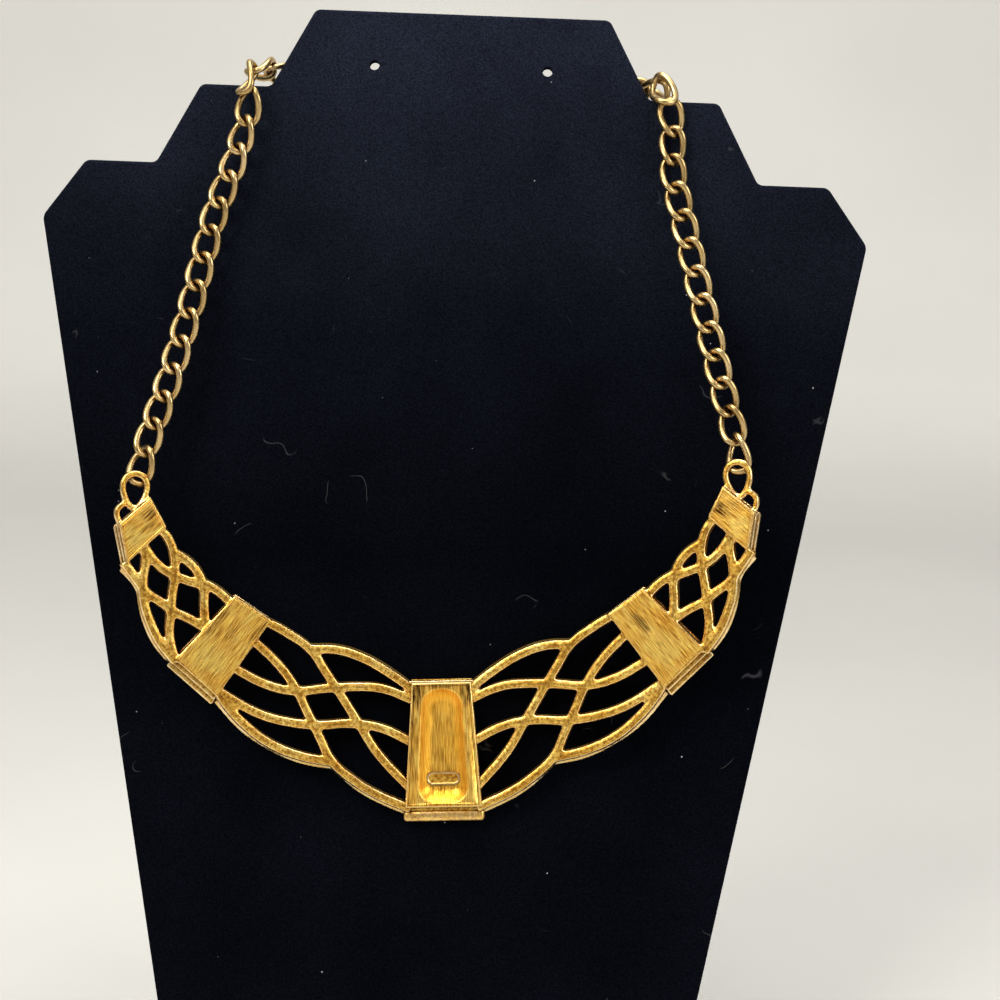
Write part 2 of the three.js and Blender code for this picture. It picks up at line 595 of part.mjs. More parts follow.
function chainLinks(side, route, loop, count) {
  const places = chainSide(route, loop, count);
  const shape = linkGeometry();
  return places.map(({ at, facing }, i) => {
    const before = i === 0 ? loop : places[i - 1].at;
    const after = i === places.length - 1 ? at : places[i + 1].at;
    const link = named(`link_${side}_${String(i + 1).padStart(2, "0")}`, shape.clone(), paleGold);
    link.applyMatrix4(alongChain(at, after.clone().sub(before), facing));
    return link;
  });
}

function claspGeometry() {
  return wireRing(fullOval(CLASP_LENGTH, CLASP_WIDTH, CLASP_WIRE), CLASP_WIRE, RING_SEGMENTS);
}

const display = new THREE.Group();
display.add(named("display_board", geometryOf(solidOf(boardGeometry()).subtract(belowFloor())), velvet));
display.add(named("easel_strut", strutGeometry(), card));

const bib = named("bib_casting", bibGeometry(), gold);
bib.position.set(BIB_ACROSS, BIB_UP, SEAT_GAP);
bib.rotation.z = radians(BIB_TURN);
bib.updateMatrix();
display.add(bib);

const loopCentre = loopPlace();
const loopOn = (side) => new THREE.Vector3(...bentPoint(side * loopCentre.x, loopCentre.y, LOOP_MIDDLE_DEPTH))
  .applyMatrix4(bib.matrix);
const leftLinks = chainLinks("left", ROUTE_LEFT, loopOn(-1), LINKS_LEFT);
const rightLinks = chainLinks("right", ROUTE_RIGHT, loopOn(1), LINKS_RIGHT);
display.add(...leftLinks, ...rightLinks);

const clasp = named("clasp", claspGeometry(), paleGold);
const lastLeft = leftLinks.at(-1).position;
const lastRight = rightLinks.at(-1).position;
const claspFacing = new THREE.Vector3(0, Math.sin(radians(CLASP_TURN)), -Math.cos(radians(CLASP_TURN)));
const claspMiddle = lastLeft.clone().lerp(lastRight, 0.5);
clasp.applyMatrix4(alongChain(claspMiddle, lastRight.clone().sub(lastLeft), claspFacing));
display.add(clasp);

display.applyMatrix4(boardToWorld);
display.updateMatrixWorld(true);
const box = new THREE.Box3().setFromObject(display, true);
display.position.y -= (box.min.y + box.max.y) / 2;

const part = new THREE.Group();
part.add(display);
export default part;
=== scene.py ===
import math

import bmesh
import bpy
import numpy as np
from mathutils import Matrix, Vector, kdtree


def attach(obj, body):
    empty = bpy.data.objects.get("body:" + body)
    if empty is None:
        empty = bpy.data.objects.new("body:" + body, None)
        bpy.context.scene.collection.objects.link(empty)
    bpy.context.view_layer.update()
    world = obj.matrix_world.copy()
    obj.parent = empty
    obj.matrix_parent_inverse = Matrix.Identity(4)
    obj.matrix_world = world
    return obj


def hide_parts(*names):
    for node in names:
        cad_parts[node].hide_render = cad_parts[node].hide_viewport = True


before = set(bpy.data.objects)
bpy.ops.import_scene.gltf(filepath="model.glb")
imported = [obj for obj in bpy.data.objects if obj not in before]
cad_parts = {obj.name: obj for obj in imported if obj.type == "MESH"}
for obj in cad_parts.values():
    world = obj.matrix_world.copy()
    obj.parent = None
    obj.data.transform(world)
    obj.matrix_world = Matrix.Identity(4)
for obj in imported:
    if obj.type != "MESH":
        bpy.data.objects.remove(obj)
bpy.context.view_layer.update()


# The display board: stiff card wrapped in short-pile navy-black velvet, stepped like shoulders and a neck.
# The wrapped edges are soft, and two small holes near the top take a pair of earrings.
MM = 0.001
BOARD_LEAN = math.radians(12)
BOARD_SETBACK = 41.1
BOARD_THICKNESS = 3.6
BOARD_TOP = 270
HALF_OUTLINE = [(55.5, 0.0), (96.2, 219.5), (86.6, 232.9), (70.3, 232.9), (60.4, 251.6), (44.1, 251.6),
                (34.3, BOARD_TOP)]
CORNER_RADIUS = 1.1
WRAPPED_EDGE_RADIUS = 0.8
EARRING_HOLE_RADIUS = 1.2
EARRING_HOLE_ACROSS = 20.2
EARRING_HOLE_UP = 257.4
VELVET_DARK = (0.0036, 0.0043, 0.0074)
VELVET_PALE = (0.0068, 0.0083, 0.0140)
LIGHT_BY_HEIGHT = [(0.06, 0.42), (0.14, 0.27), (0.19, 0.6), (0.235, 1.5), (0.256, 2.1)]
LINT_GREY = (0.10, 0.10, 0.11)
DUST_GREY = (0.42, 0.43, 0.46)

upright = Matrix.Rotation(math.pi / 2 - BOARD_LEAN, 4, "X")
board_place = Matrix.Scale(MM, 4) @ Matrix.Translation((0, -BOARD_SETBACK, 0)) @ upright


def finished(name, mesh, materials, node):
    piece = bpy.data.objects.new(name, mesh)
    bpy.context.scene.collection.objects.link(piece)
    for material in materials:
        mesh.materials.append(material)
    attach(piece, "root")
    if node:
        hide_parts(node)
    return piece


def new_material(name):
    material = bpy.data.materials.new(name)
    material.use_nodes = True
    nodes = material.node_tree.nodes
    links = material.node_tree.links
    return material, nodes, links, nodes["Principled BSDF"]


def pattern(nodes, links, kind, scale, stretch=(1, 1, 1), source="Object", detail=2.0):
    coords = nodes.new("ShaderNodeTexCoord")
    mapping = nodes.new("ShaderNodeMapping")
    mapping.inputs["Scale"].default_value = stretch
    texture = nodes.new(kind)
    texture.inputs["Scale"].default_value = scale
    if kind == "ShaderNodeTexNoise":
        texture.inputs["Detail"].default_value = detail
    links.new(coords.outputs[source], mapping.inputs["Vector"])
    links.new(mapping.outputs["Vector"], texture.inputs["Vector"])
    return texture


def ramp(nodes, links, value, stops):
    node = nodes.new("ShaderNodeValToRGB")
    while len(node.color_ramp.elements) < len(stops):
        node.color_ramp.elements.new(0.5)
    for element, (at, shade) in zip(node.color_ramp.elements, stops):
        element.position = at
        element.color = (*shade, 1) if isinstance(shade, tuple) else (shade, shade, shade, 1)
    links.new(value, node.inputs["Fac"])
    return node.outputs["Color"]


def blended(nodes, links, share, first, second, how="MIX"):
    node = nodes.new("ShaderNodeMix")
    node.data_type = "RGBA"
    node.blend_type = how
    for number, value in ((0, share), (6, first), (7, second)):
        if isinstance(value, bpy.types.NodeSocket):
            links.new(value, node.inputs[number])
        else:
            node.inputs[number].default_value = value if number == 0 else (*value, 1)
    return node.outputs[2]


def multiplied(nodes, links, first, second):
    return blended(nodes, links, 1.0, first, second, "MULTIPLY")


def roughened(nodes, links, height, strength, distance, under=None):
    """A shallow bump, laid on top of another one where that is given."""
    bump = nodes.new("ShaderNodeBump")
    bump.inputs["Strength"].default_value = strength
    bump.inputs["Distance"].default_value = distance
    links.new(height, bump.inputs["Height"])
    if under is not None:
        links.new(under, bump.inputs["Normal"])
    return bump.outputs["Normal"]


def mesh_of(name, bm):
    mesh = bpy.data.meshes.new(name)
    bm.to_mesh(mesh)
    bm.free()
    return mesh


def thickened(bm, faces, offset):
    """Pulls faces out into a slab, and gives back what was pulled."""
    pulled = bmesh.ops.extrude_face_region(bm, geom=faces)["geom"]
    bmesh.ops.translate(bm, verts=[v for v in pulled if isinstance(v, bmesh.types.BMVert)], vec=offset)
    return pulled


def rounded(bm, geom, radius, segments, affect="EDGES"):
    bmesh.ops.bevel(bm, geom=geom, offset=radius, segments=segments, profile=0.5, affect=affect, material=-1)


def trimmed(bm, plane_at, outwards):
    """Cuts off what lies outside a plane and closes the cut."""
    bmesh.ops.bisect_plane(bm, geom=bm.verts[:] + bm.edges[:] + bm.faces[:], plane_co=plane_at,
                           plane_no=outwards, clear_outer=True)
    bmesh.ops.holes_fill(bm, edges=[e for e in bm.edges if e.is_boundary])


velvet, nodes, links, shader = new_material("velvet")
pile = pattern(nodes, links, "ShaderNodeTexNoise", 2600, detail=3)
nap = pattern(nodes, links, "ShaderNodeTexNoise", 26, detail=4)
ground = ramp(nodes, links, nap.outputs["Fac"], [(0.3, VELVET_DARK), (0.7, VELVET_PALE)])
grain = ramp(nodes, links, pile.outputs["Fac"], [(0.38, 0.55), (0.65, 1.3)])
place = nodes.new("ShaderNodeTexCoord")
height = nodes.new("ShaderNodeSeparateXYZ")
links.new(place.outputs["Object"], height.inputs["Vector"])
height_light = ramp(nodes, links, height.outputs["Z"], LIGHT_BY_HEIGHT)
tinted = multiplied(nodes, links, multiplied(nodes, links, ground, height_light), grain)
dust = pattern(nodes, links, "ShaderNodeTexVoronoi", 330)
dust_size = ramp(nodes, links, dust.outputs["Distance"], [(0.035, 1.0), (0.075, 0.0)])
dust_pick = nodes.new("ShaderNodeSeparateColor")
links.new(dust.outputs["Color"], dust_pick.inputs["Color"])
dust_rare = ramp(nodes, links, dust_pick.outputs["Red"], [(0.93, 0.0), (1.0, 1.0)])
dust_here = multiplied(nodes, links, dust_size, dust_rare)
lint = pattern(nodes, links, "ShaderNodeTexNoise", 110, detail=1)
lint_line = ramp(nodes, links, lint.outputs["Fac"],
                 [(0.492, 0.0), (0.498, 0.3), (0.502, 0.3), (0.508, 0.0)])
lint_place = pattern(nodes, links, "ShaderNodeTexNoise", 75, detail=1)
lint_rare = ramp(nodes, links, lint_place.outputs["Fac"], [(0.68, 0.0), (0.72, 1.0)])
linted = blended(nodes, links, multiplied(nodes, links, lint_line, lint_rare), tinted, LINT_GREY)
links.new(blended(nodes, links, dust_here, linted, DUST_GREY), shader.inputs["Base Color"])
shader.inputs["Roughness"].default_value = 0.95
shader.inputs["Specular IOR Level"].default_value = 0.0
shader.inputs["Sheen Weight"].default_value = 0.03
shader.inputs["Sheen Roughness"].default_value = 0.45
shader.inputs["Sheen Tint"].default_value = (0.55, 0.65, 0.9, 1)
links.new(roughened(nodes, links, pile.outputs["Fac"], 0.5, 0.0003), shader.inputs["Normal"])

bm = bmesh.new()
outline = HALF_OUTLINE + [(-across, up) for across, up in reversed(HALF_OUTLINE)]
face = bm.faces.new([bm.verts.new((across, up, -BOARD_THICKNESS)) for across, up in outline])
thickened(bm, [face], (0, 0, BOARD_THICKNESS))
turned_edges = [e for e in bm.edges if abs(e.verts[0].co.z - e.verts[1].co.z) > 1 and e.verts[0].co.y > 1]
rounded(bm, turned_edges, CORNER_RADIUS, 5)
rims = [e for e in bm.edges if abs(e.verts[0].co.z - e.verts[1].co.z) < 0.01]
rounded(bm, rims, WRAPPED_EDGE_RADIUS, 3)
bmesh.ops.transform(bm, matrix=board_place, verts=bm.verts)
trimmed(bm, (0, 0, 0), (0, 0, -1))
bmesh.ops.recalc_face_normals(bm, faces=bm.faces)
board_mesh = mesh_of("velvet_board", bm)

board = bpy.data.objects.new("uncut_board", board_mesh)
bm = bmesh.new()
for side in (-1, 1):
    at = Matrix.Translation((side * EARRING_HOLE_ACROSS, EARRING_HOLE_UP, -BOARD_THICKNESS / 2))
    bmesh.ops.create_cone(bm, cap_ends=True, segments=28, radius1=EARRING_HOLE_RADIUS,
                          radius2=EARRING_HOLE_RADIUS, depth=BOARD_THICKNESS * 3, matrix=board_place @ at)
drills = bpy.data.objects.new("drills", mesh_of("drills", bm))
for cut in (board, drills):
    bpy.context.scene.collection.objects.link(cut)
drilled = board.modifiers.new("drilled", "BOOLEAN")
drilled.operation = "DIFFERENCE"
drilled.object = drills
drilled.solver = "EXACT"
bpy.context.view_layer.update()
drilled_mesh = bpy.data.meshes.new_from_object(board.evaluated_get(bpy.context.evaluated_depsgraph_get()))
for cut in (board, drills):
    bpy.data.objects.remove(cut)
drilled_mesh.materials.clear()
finished("velvet_board", drilled_mesh, [velvet], "display_board")


# The strut: a plain tapered flap of stiff card, covered with dark paper, that holds the board up from behind.
# It leans against the board's back and stands on its own straight foot.
STRUT_THICKNESS = 3.0
STRUT_TOP_HALF = 23
STRUT_FOOT_HALF = 36
STRUT_MEETING_HEIGHT = 185
STRUT_EDGE_RADIUS = 0.35
STRUT_SPARE = 20
STRUT_GAP = 0.3
PAPER_DARK = (0.010, 0.010, 0.012)
PAPER_PALE = (0.020, 0.020, 0.023)

paper, nodes, links, shader = new_material("dark paper")
fibres = pattern(nodes, links, "ShaderNodeTexNoise", 420, stretch=(1, 1, 0.25), detail=5)
mottle = pattern(nodes, links, "ShaderNodeTexNoise", 40, detail=4)
shade = ramp(nodes, links, mottle.outputs["Fac"], [(0.3, PAPER_DARK), (0.7, PAPER_PALE)])
flecks = ramp(nodes, links, fibres.outputs["Fac"], [(0.4, 0.7), (0.62, 1.5)])
links.new(multiplied(nodes, links, shade, flecks), shader.inputs["Base Color"])
links.new(ramp(nodes, links, fibres.outputs["Fac"], [(0.3, 0.7), (0.7, 0.9)]), shader.inputs["Roughness"])
links.new(roughened(nodes, links, fibres.outputs["Fac"], 0.35, 0.0002), shader.inputs["Normal"])

meeting = STRUT_MEETING_HEIGHT * math.tan(BOARD_LEAN)
strut_foot = 2 * meeting + BOARD_THICKNESS
bm = bmesh.new()
bmesh.ops.create_grid(bm, x_segments=1, y_segments=1, size=1)
for v in bm.verts:
    half = STRUT_TOP_HALF if v.co.y > 0 else STRUT_FOOT_HALF
    v.co = (v.co.x * half, 0, STRUT_MEETING_HEIGHT + STRUT_SPARE if v.co.y > 0 else -STRUT_SPARE)
thickened(bm, bm.faces[:], (0, -STRUT_THICKNESS, 0))
rounded(bm, bm.edges[:], STRUT_EDGE_RADIUS, 2)
bmesh.ops.transform(bm, matrix=Matrix.Rotation(BOARD_LEAN, 4, "X"), verts=bm.verts)
to_foot = Matrix.Translation((0, strut_foot - BOARD_SETBACK, 0))
bmesh.ops.transform(bm, matrix=Matrix.Scale(MM, 4) @ to_foot, verts=bm.verts)
behind = board_place @ Vector((0, 0, -BOARD_THICKNESS - STRUT_GAP))
trimmed(bm, Vector((0, 0, 0)), Vector((0, 0, -1)))
trimmed(bm, behind, upright.to_3x3() @ Vector((0, 0, 1)))
bmesh.ops.recalc_face_normals(bm, faces=bm.faces)
strut_mesh = mesh_of("paper_strut", bm)
finished("paper_strut", strut_mesh, [paper], "easel_strut")


# The bib's lattice: interlaced strands, cast in one with the plates in base metal and plated yellow gold.
# It shows its unpolished back: narrow backs with pale edges, partly wear and partly painted highlight, on a
# wider front strand that makes a lip.
BIB_ACROSS = 1
BIB_UP = 114.6
BIB_TURN = math.radians(3.3)
BIB_BEND_RADIUS = 260
SEAT_GAP = 0.3
CENTRE_TOP_HALF = 7
CENTRE_FOOT_HALF = 9
CENTRE_HEIGHT = 28.8
PLATES = {
    "middle": {"top": (43.5, 18.2), "lean": 40.8, "height": 20.7, "top_width": 10.3, "foot_width": 13,
               "top_turn": -5.7, "foot_turn": 2.3, "lip": 2.3},
    "end": {"top": (64.8, 40.6), "lean": 50, "height": 10.9, "top_width": 7.9, "foot_width": 9.2,
            "top_turn": 12.3, "foot_turn": 29.8, "lip": 1.2},
}
STRAND_SECTION = [(0.6, 0.5), (1.0, 0.9), (1.14, 1.6), (1.12, 2.9), (1.08, 3.8), (0.85, 4.2)]
LOOP_SECTION = [(0.4, 1.85), (0.68, 2.1), (0.8, 2.55), (0.7, 3.0), (0.42, 3.25)]
ARC_SECTION = [(0.4, 1.7), (0.62, 1.9), (0.7, 2.6), (0.64, 3.2), (0.45, 3.5)]
LIP_SECTION = [(0.75, 0.5), (0.98, 0.75), (0.98, 1.3), (0.8, 1.55)]
VOXEL = 0.25
BODY_BACK = 4.6
BODY_BELOW_PLATE = 0.1
BODY_START = 0.6
CURVE_STEPS = 10
SMOOTHING_PASSES = 8
LOOP_LENGTH = 9.6
LOOP_WIDTH = 7
LOOP_WIRE = 1.65
LOOP_TAPER = 0.28
LOOP_TILT = math.radians(4)

INNER_STRANDS = [
    [(1.03, 0.035), (0.88, 0.055), (0.69, 0.115), (0.56, 0.245), (0.42, 0.405), (0.3, 0.555),
     (0.17, 0.725), (-0.03, 0.875)],
    [(0.7, 0.115), (0.53, 0.005), (0.36, -0.025), (0.19, -0.005), (-0.03, 0.055)],
    [(1.03, 0.645), (0.81, 0.635), (0.67, 0.555), (0.53, 0.405), (0.37, 0.265), (0.2, 0.165), (-0.03, 0.135)],
    [(1.03, 0.275), (0.81, 0.405), (0.68, 0.535), (0.57, 0.705), (0.48, 0.855), (0.39, 1.005), (0.27, 1.065),
     (0.15, 1.075), (-0.03, 1.035)],
    [(1.03, 0.935), (0.8, 0.945), (0.65, 0.875), (0.5, 0.755), (0.35, 0.605), (0.18, 0.505), (-0.03, 0.485)],
    [(1.02, 0.935), (0.95, 1.015), (0.82, 1.115), (0.68, 1.155), (0.54, 1.115), (0.39, 1.015)],
]
INNER_LIPS = [
    [(0.99, 1.03), (0.82, 1.16), (0.67, 1.19), (0.52, 1.15), (0.38, 1.05)],
    [(0.38, 1.05), (0.28, 1.1), (0.2, 1.12), (0.1, 1.11), (-0.02, 1.08)],
    [(1.0, 0.03), (0.88, 0.045), (0.74, 0.09)],
    [(0.7, 0.1), (0.53, -0.01), (0.36, -0.04), (0.19, -0.02), (0.0, 0.04)],
]
OUTER_STRANDS = [
    [(1.05, 0.11), (0.9, 0.12), (0.76, 0.21), (0.6, 0.4), (0.47, 0.6), (0.34, 0.77), (0.2, 0.92),
     (-0.03, 1.01)],
    [(0.75, 0.2), (0.56, 0.13), (0.4, 0.15), (0.26, 0.24), (0.15, 0.36), (-0.03, 0.51)],
    [(0.33, 0.18), (0.16, 0.11), (-0.05, 0.09)],
    [(1.05, 0.55), (0.78, 0.53), (0.61, 0.44), (0.46, 0.32), (0.31, 0.2)],
    [(1.03, 1.03), (0.81, 0.96), (0.65, 0.91), (0.49, 0.8), (0.33, 0.71), (0.18, 0.6), (-0.03, 0.49)],
    [(1.06, 0.55), (0.92, 0.64), (0.78, 0.86), (0.63, 1.01), (0.44, 1.07), (0.24, 1.07), (-0.03, 1.0)],
]
OUTER_LIPS = [
    [(0.99, 1.09), (0.79, 0.99), (0.7, 0.99)],
    [(0.7, 0.99), (0.61, 1.05), (0.44, 1.11), (0.24, 1.11), (0.03, 1.05)],
    [(1.0, 0.09), (0.9, 0.1), (0.78, 0.17)],
    [(0.74, 0.17), (0.56, 0.1), (0.4, 0.12), (0.33, 0.15)],
    [(0.33, 0.16), (0.16, 0.09), (0.0, 0.07)],
]

bib_place = (board_place @ Matrix.Translation((BIB_ACROSS, BIB_UP, SEAT_GAP))
             @ Matrix.Rotation(BIB_TURN, 4, "Z"))


def plate_corners(plate):
    lean = math.radians(plate["lean"])
    top = Vector(plate["top"])
    foot = top + plate["height"] * Vector((math.sin(lean), -math.cos(lean)))
    found = {}
    for name, middle, width, turn in (("top", top, plate["top_width"], plate["top_turn"]),
                                      ("foot", foot, plate["foot_width"], plate["foot_turn"])):
        along = Vector((math.cos(lean + math.radians(turn)), math.sin(lean + math.radians(turn))))
        found[name + "_in"] = middle - along * width / 2
        found[name + "_out"] = middle + along * width / 2
    return found


def curved_onto_board(mesh):
    place = np.empty(len(mesh.vertices) * 3)
    mesh.vertices.foreach_get("co", place)
    place = place.reshape(-1, 3)
    angle = place[:, 0] / BIB_BEND_RADIUS
    radius = BIB_BEND_RADIUS - place[:, 2]
    place[:, 0] = radius * np.sin(angle)
    place[:, 2] = BIB_BEND_RADIUS - radius * np.cos(angle)
    mesh.vertices.foreach_set("co", place.ravel())
    mesh.transform(bib_place)
    mesh.update()


def swept(name, points, section):
    """A strand swept along points in the bib's flat plane, with the points of its middle line."""
    profile = bpy.data.curves.new(name + "_section", "CURVE")
    loop = profile.splines.new("POLY")
    half = section + [(-across, depth) for across, depth in reversed(section)]
    loop.points.add(len(half) - 1)
    for point, (across, depth) in zip(loop.points, half):
        point.co = (across, depth, 0, 1)
    loop.use_cyclic_u = True
    section_piece = bpy.data.objects.new(name + "_section", profile)
    path = bpy.data.curves.new(name, "CURVE")
    path.dimensions = "3D"
    path.twist_mode = "Z_UP"
    path.bevel_mode = "OBJECT"
    path.bevel_object = section_piece
    path.use_fill_caps = True
    path.resolution_u = CURVE_STEPS
    line = path.splines.new("BEZIER")
    line.bezier_points.add(len(points) - 1)
    for knot, point in zip(line.bezier_points, points):
        knot.co = (*point, 0)
        knot.handle_left_type = "AUTO"
        knot.handle_right_type = "AUTO"
    path_piece = bpy.data.objects.new(name, path)
    for piece in (section_piece, path_piece):
        bpy.context.scene.collection.objects.link(piece)
    bpy.context.view_layer.update()
    mesh = bpy.data.meshes.new_from_object(path_piece.evaluated_get(bpy.context.evaluated_depsgraph_get()))
    path.bevel_mode = "ROUND"
    path.use_fill_caps = False
    bpy.context.view_layer.update()
    middle = bpy.data.meshes.new_from_object(path_piece.evaluated_get(bpy.context.evaluated_depsgraph_get()))
    line_points = [v.co.copy() for v in middle.vertices]
    for piece in (path_piece, section_piece):
        bpy.data.objects.remove(piece)
    return mesh, line_points


corners = {name: plate_corners(plate) for name, plate in PLATES.items()}
panels = {
    "inner": (Vector((CENTRE_TOP_HALF, 0)), Vector((CENTRE_FOOT_HALF, 1.4 - CENTRE_HEIGHT)),
              corners["middle"]["top_in"], corners["middle"]["foot_in"]),
    "outer": (corners["middle"]["top_out"], corners["middle"]["foot_out"],
              corners["end"]["top_in"], corners["end"]["foot_in"]),
}


loop_seat = corners["end"]["top_out"].lerp(corners["end"]["foot_out"], 0.5)
loop_reach = (LOOP_LENGTH - LOOP_WIRE) / 2 + LOOP_WIRE / 4
loop_middle = loop_seat + loop_reach * Vector((-math.sin(LOOP_TILT), math.cos(LOOP_TILT)))


def loop_point(turn):
    across = (LOOP_WIDTH - LOOP_WIRE) / 2 * math.cos(turn) * (1 + LOOP_TAPER * math.sin(turn))
    up = (LOOP_LENGTH - LOOP_WIRE) / 2 * math.sin(turn)
    return loop_middle + Matrix.Rotation(LOOP_TILT, 2) @ Vector((across, up))


loop_route = [loop_point(math.pi * (step / 8 - 0.5)) for step in range(17)]
arc_start = corners["end"]["top_out"].lerp(corners["end"]["foot_out"], 0.97)
arc_finish = loop_middle + Vector((2.6, -2.7))
arc_route = [arc_start, arc_start.lerp(arc_finish, 0.5) + Vector((1.0, 0.6)), arc_finish]


def in_panel(panel, share):
    near_top, near_foot, far_top, far_foot = panels[panel]
    return near_top.lerp(far_top, share[0]).lerp(near_foot.lerp(far_foot, share[0]), share[1])


def painted(nodes, name):
    """What a mesh says at each point under this name, from 0 to 1."""
    node = nodes.new("ShaderNodeAttribute")
    node.attribute_name = name
    return node.outputs["Fac"]


def crevice_tarnish_and_shade(nodes, links, colour, reach, stops):
    """Darkens a colour in the crevices found by ambient occlusion: brown tarnish and painted shade."""
    crevice = nodes.new("ShaderNodeAmbientOcclusion")
    crevice.samples = 6
    crevice.inputs["Distance"].default_value = reach
    return multiplied(nodes, links, colour, ramp(nodes, links, crevice.outputs["AO"], stops))


cast_gold, nodes, links, shader = new_material("cast gold, back")
edge = painted(nodes, "edge")
pits = pattern(nodes, links, "ShaderNodeTexNoise", 1500, detail=4)
cloud = pattern(nodes, links, "ShaderNodeTexNoise", 170, detail=5)
wear = pattern(nodes, links, "ShaderNodeTexNoise", 420, detail=3)
yellow = ramp(nodes, links, cloud.outputs["Fac"],
              [(0.3, (0.60, 0.31, 0.04)), (0.5, (0.86, 0.54, 0.11)), (0.72, (1.0, 0.73, 0.22))])
freckled = ramp(nodes, links, pits.outputs["Fac"], [(0.36, (0.58, 0.40, 0.2)), (0.58, (1.15, 1.15, 1.12))])
body = multiplied(nodes, links, yellow, freckled)
seam_wear = ramp(nodes, links, wear.outputs["Fac"], [(0.42, 0.0), (0.52, 0.9)])
seam = multiplied(nodes, links, painted(nodes, "middle"), seam_wear)
seamed = blended(nodes, links, seam, body, (0.20, 0.08, 0.015))
# A dark line of painted shade where the top of a strand starts to turn down into its side.
painted_shade_line = ramp(nodes, links, edge, [(0.02, 1.0), (0.14, 0.45), (0.3, 1.0)])
shade_lined = multiplied(nodes, links, seamed, painted_shade_line)
# Pale rims where the surface turns from the back: partly wear and partly painted highlight.
rim_wear_and_highlight = ramp(nodes, links, edge, [(0.25, 0.0), (0.75, 0.9)])
rim_gold = ramp(nodes, links, wear.outputs["Fac"], [(0.35, (0.78, 0.50, 0.20)), (0.65, (1.0, 0.79, 0.44))])
lip_gold = ramp(nodes, links, cloud.outputs["Fac"], [(0.35, (0.62, 0.36, 0.06)), (0.65, (0.84, 0.56, 0.14))])
lipped = blended(nodes, links, painted(nodes, "lip"), shade_lined, lip_gold)
edged = blended(nodes, links, rim_wear_and_highlight, lipped, rim_gold)
# Brown tarnish and painted shade darken the crevices and the crossings of the strands.
crevice_tarnished_and_shaded = crevice_tarnish_and_shade(nodes, links, edged, 0.0016, [(0.35, (0.16, 0.08, 0.02)), (0.85, (1.0, 1.0, 1.0))])
links.new(crevice_tarnished_and_shaded, shader.inputs["Base Color"])
shader.inputs["Metallic"].default_value = 1.0
links.new(ramp(nodes, links, rim_wear_and_highlight, [(0.0, 0.40), (1.0, 0.24)]), shader.inputs["Roughness"])
ripple = roughened(nodes, links, wear.outputs["Fac"], 0.5, 0.0003)
links.new(roughened(nodes, links, pits.outputs["Fac"], 0.55, 0.00012, ripple), shader.inputs["Normal"])

for side_name, side in (("left", -1), ("right", 1)):
    bm = bmesh.new()
    strand_line = []
    lip_line = []
    for panel, strands, lips in (("inner", INNER_STRANDS, INNER_LIPS), ("outer", OUTER_STRANDS, OUTER_LIPS)):
        for rows, section, line in ((strands, STRAND_SECTION, strand_line), (lips, LIP_SECTION, lip_line)):
            for row in rows:
                route = [in_panel(panel, share) for share in row]
                mesh, points = swept("strand", [(side * p.x, p.y) for p in route], section)
                bm.from_mesh(mesh)
                line += points
                bpy.data.meshes.remove(mesh)
    for route, section in ((loop_route, LOOP_SECTION), (arc_route, ARC_SECTION)):
        mesh, points = swept("strand", [(side * p.x, p.y) for p in route], section)
        bm.from_mesh(mesh)
        strand_line += points
        bpy.data.meshes.remove(mesh)
    for at in corners.values():
        outline = [(side * at[corner].x, at[corner].y) for corner in
                   ("top_in", "foot_in", "foot_out", "top_out")]
        face = bm.faces.new([bm.verts.new((*point, BODY_START)) for point in outline])
        thickened(bm, [face], (0, 0, BODY_BACK - BODY_BELOW_PLATE - BODY_START))
    bmesh.ops.remove_doubles(bm, verts=bm.verts, dist=0.001)
    bmesh.ops.recalc_face_normals(bm, faces=bm.faces)
    rough_piece = bpy.data.objects.new("rough_lattice", mesh_of("rough_lattice", bm))
    bpy.context.scene.collection.objects.link(rough_piece)
    fused = rough_piece.modifiers.new("fused", "REMESH")
    fused.mode = "VOXEL"
    fused.voxel_size = VOXEL
    bpy.context.view_layer.update()
    cast = bpy.data.meshes.new_from_object(rough_piece.evaluated_get(bpy.context.evaluated_depsgraph_get()))
    bpy.data.objects.remove(rough_piece)
    bm = bmesh.new()
    bm.from_mesh(cast)
    for _ in range(SMOOTHING_PASSES):
        bmesh.ops.smooth_vert(bm, verts=bm.verts, factor=0.5, use_axis_x=True, use_axis_y=True,
                              use_axis_z=True)
    bmesh.ops.recalc_face_normals(bm, faces=bm.faces)
    for f in bm.faces:
        f.smooth = True
    bm.to_mesh(cast)
    bm.free()
    trees = []
    for line in (strand_line, lip_line):
        tree = kdtree.KDTree(len(line))
        for number, point in enumerate(line):
            tree.insert((point.x, point.y, 0), number)
        tree.balance()
        trees.append(tree)
    edge_values = []
    lip_values = []
    middle_values = []
    # The edge value grows as the surface turns from facing the back. It sets the pale rims, partly wear and
    # partly painted highlight, and the dark line of painted shade inside them.
    for v in cast.vertices:
        off_strand = trees[0].find((v.co.x, v.co.y, 0))[2]
        off_lip = trees[1].find((v.co.x, v.co.y, 0))[2]
        tilt = v.normal.z
        edge_values.append(min(max((0.985 - tilt) / 0.3, 0), 1) if tilt > 0.3 else 0.3)
        lip_values.append(min(max((off_strand - 1.05) / 0.25, 0), 1) if v.co.z < 2.2 and off_lip < 1.2 else 0)
        middle_values.append(min(max(1 - off_strand / 0.4, 0), 1) if 3.5 < v.co.z < 4.4 else 0)
    for name, values in (("edge", edge_values), ("lip", lip_values), ("middle", middle_values)):
        cast.attributes.new(name, "FLOAT", "POINT").data.foreach_set("value", values)
    curved_onto_board(cast)
    cast.materials.clear()
    finished("lattice_" + side_name, cast, [cast_gold], "bib_casting")


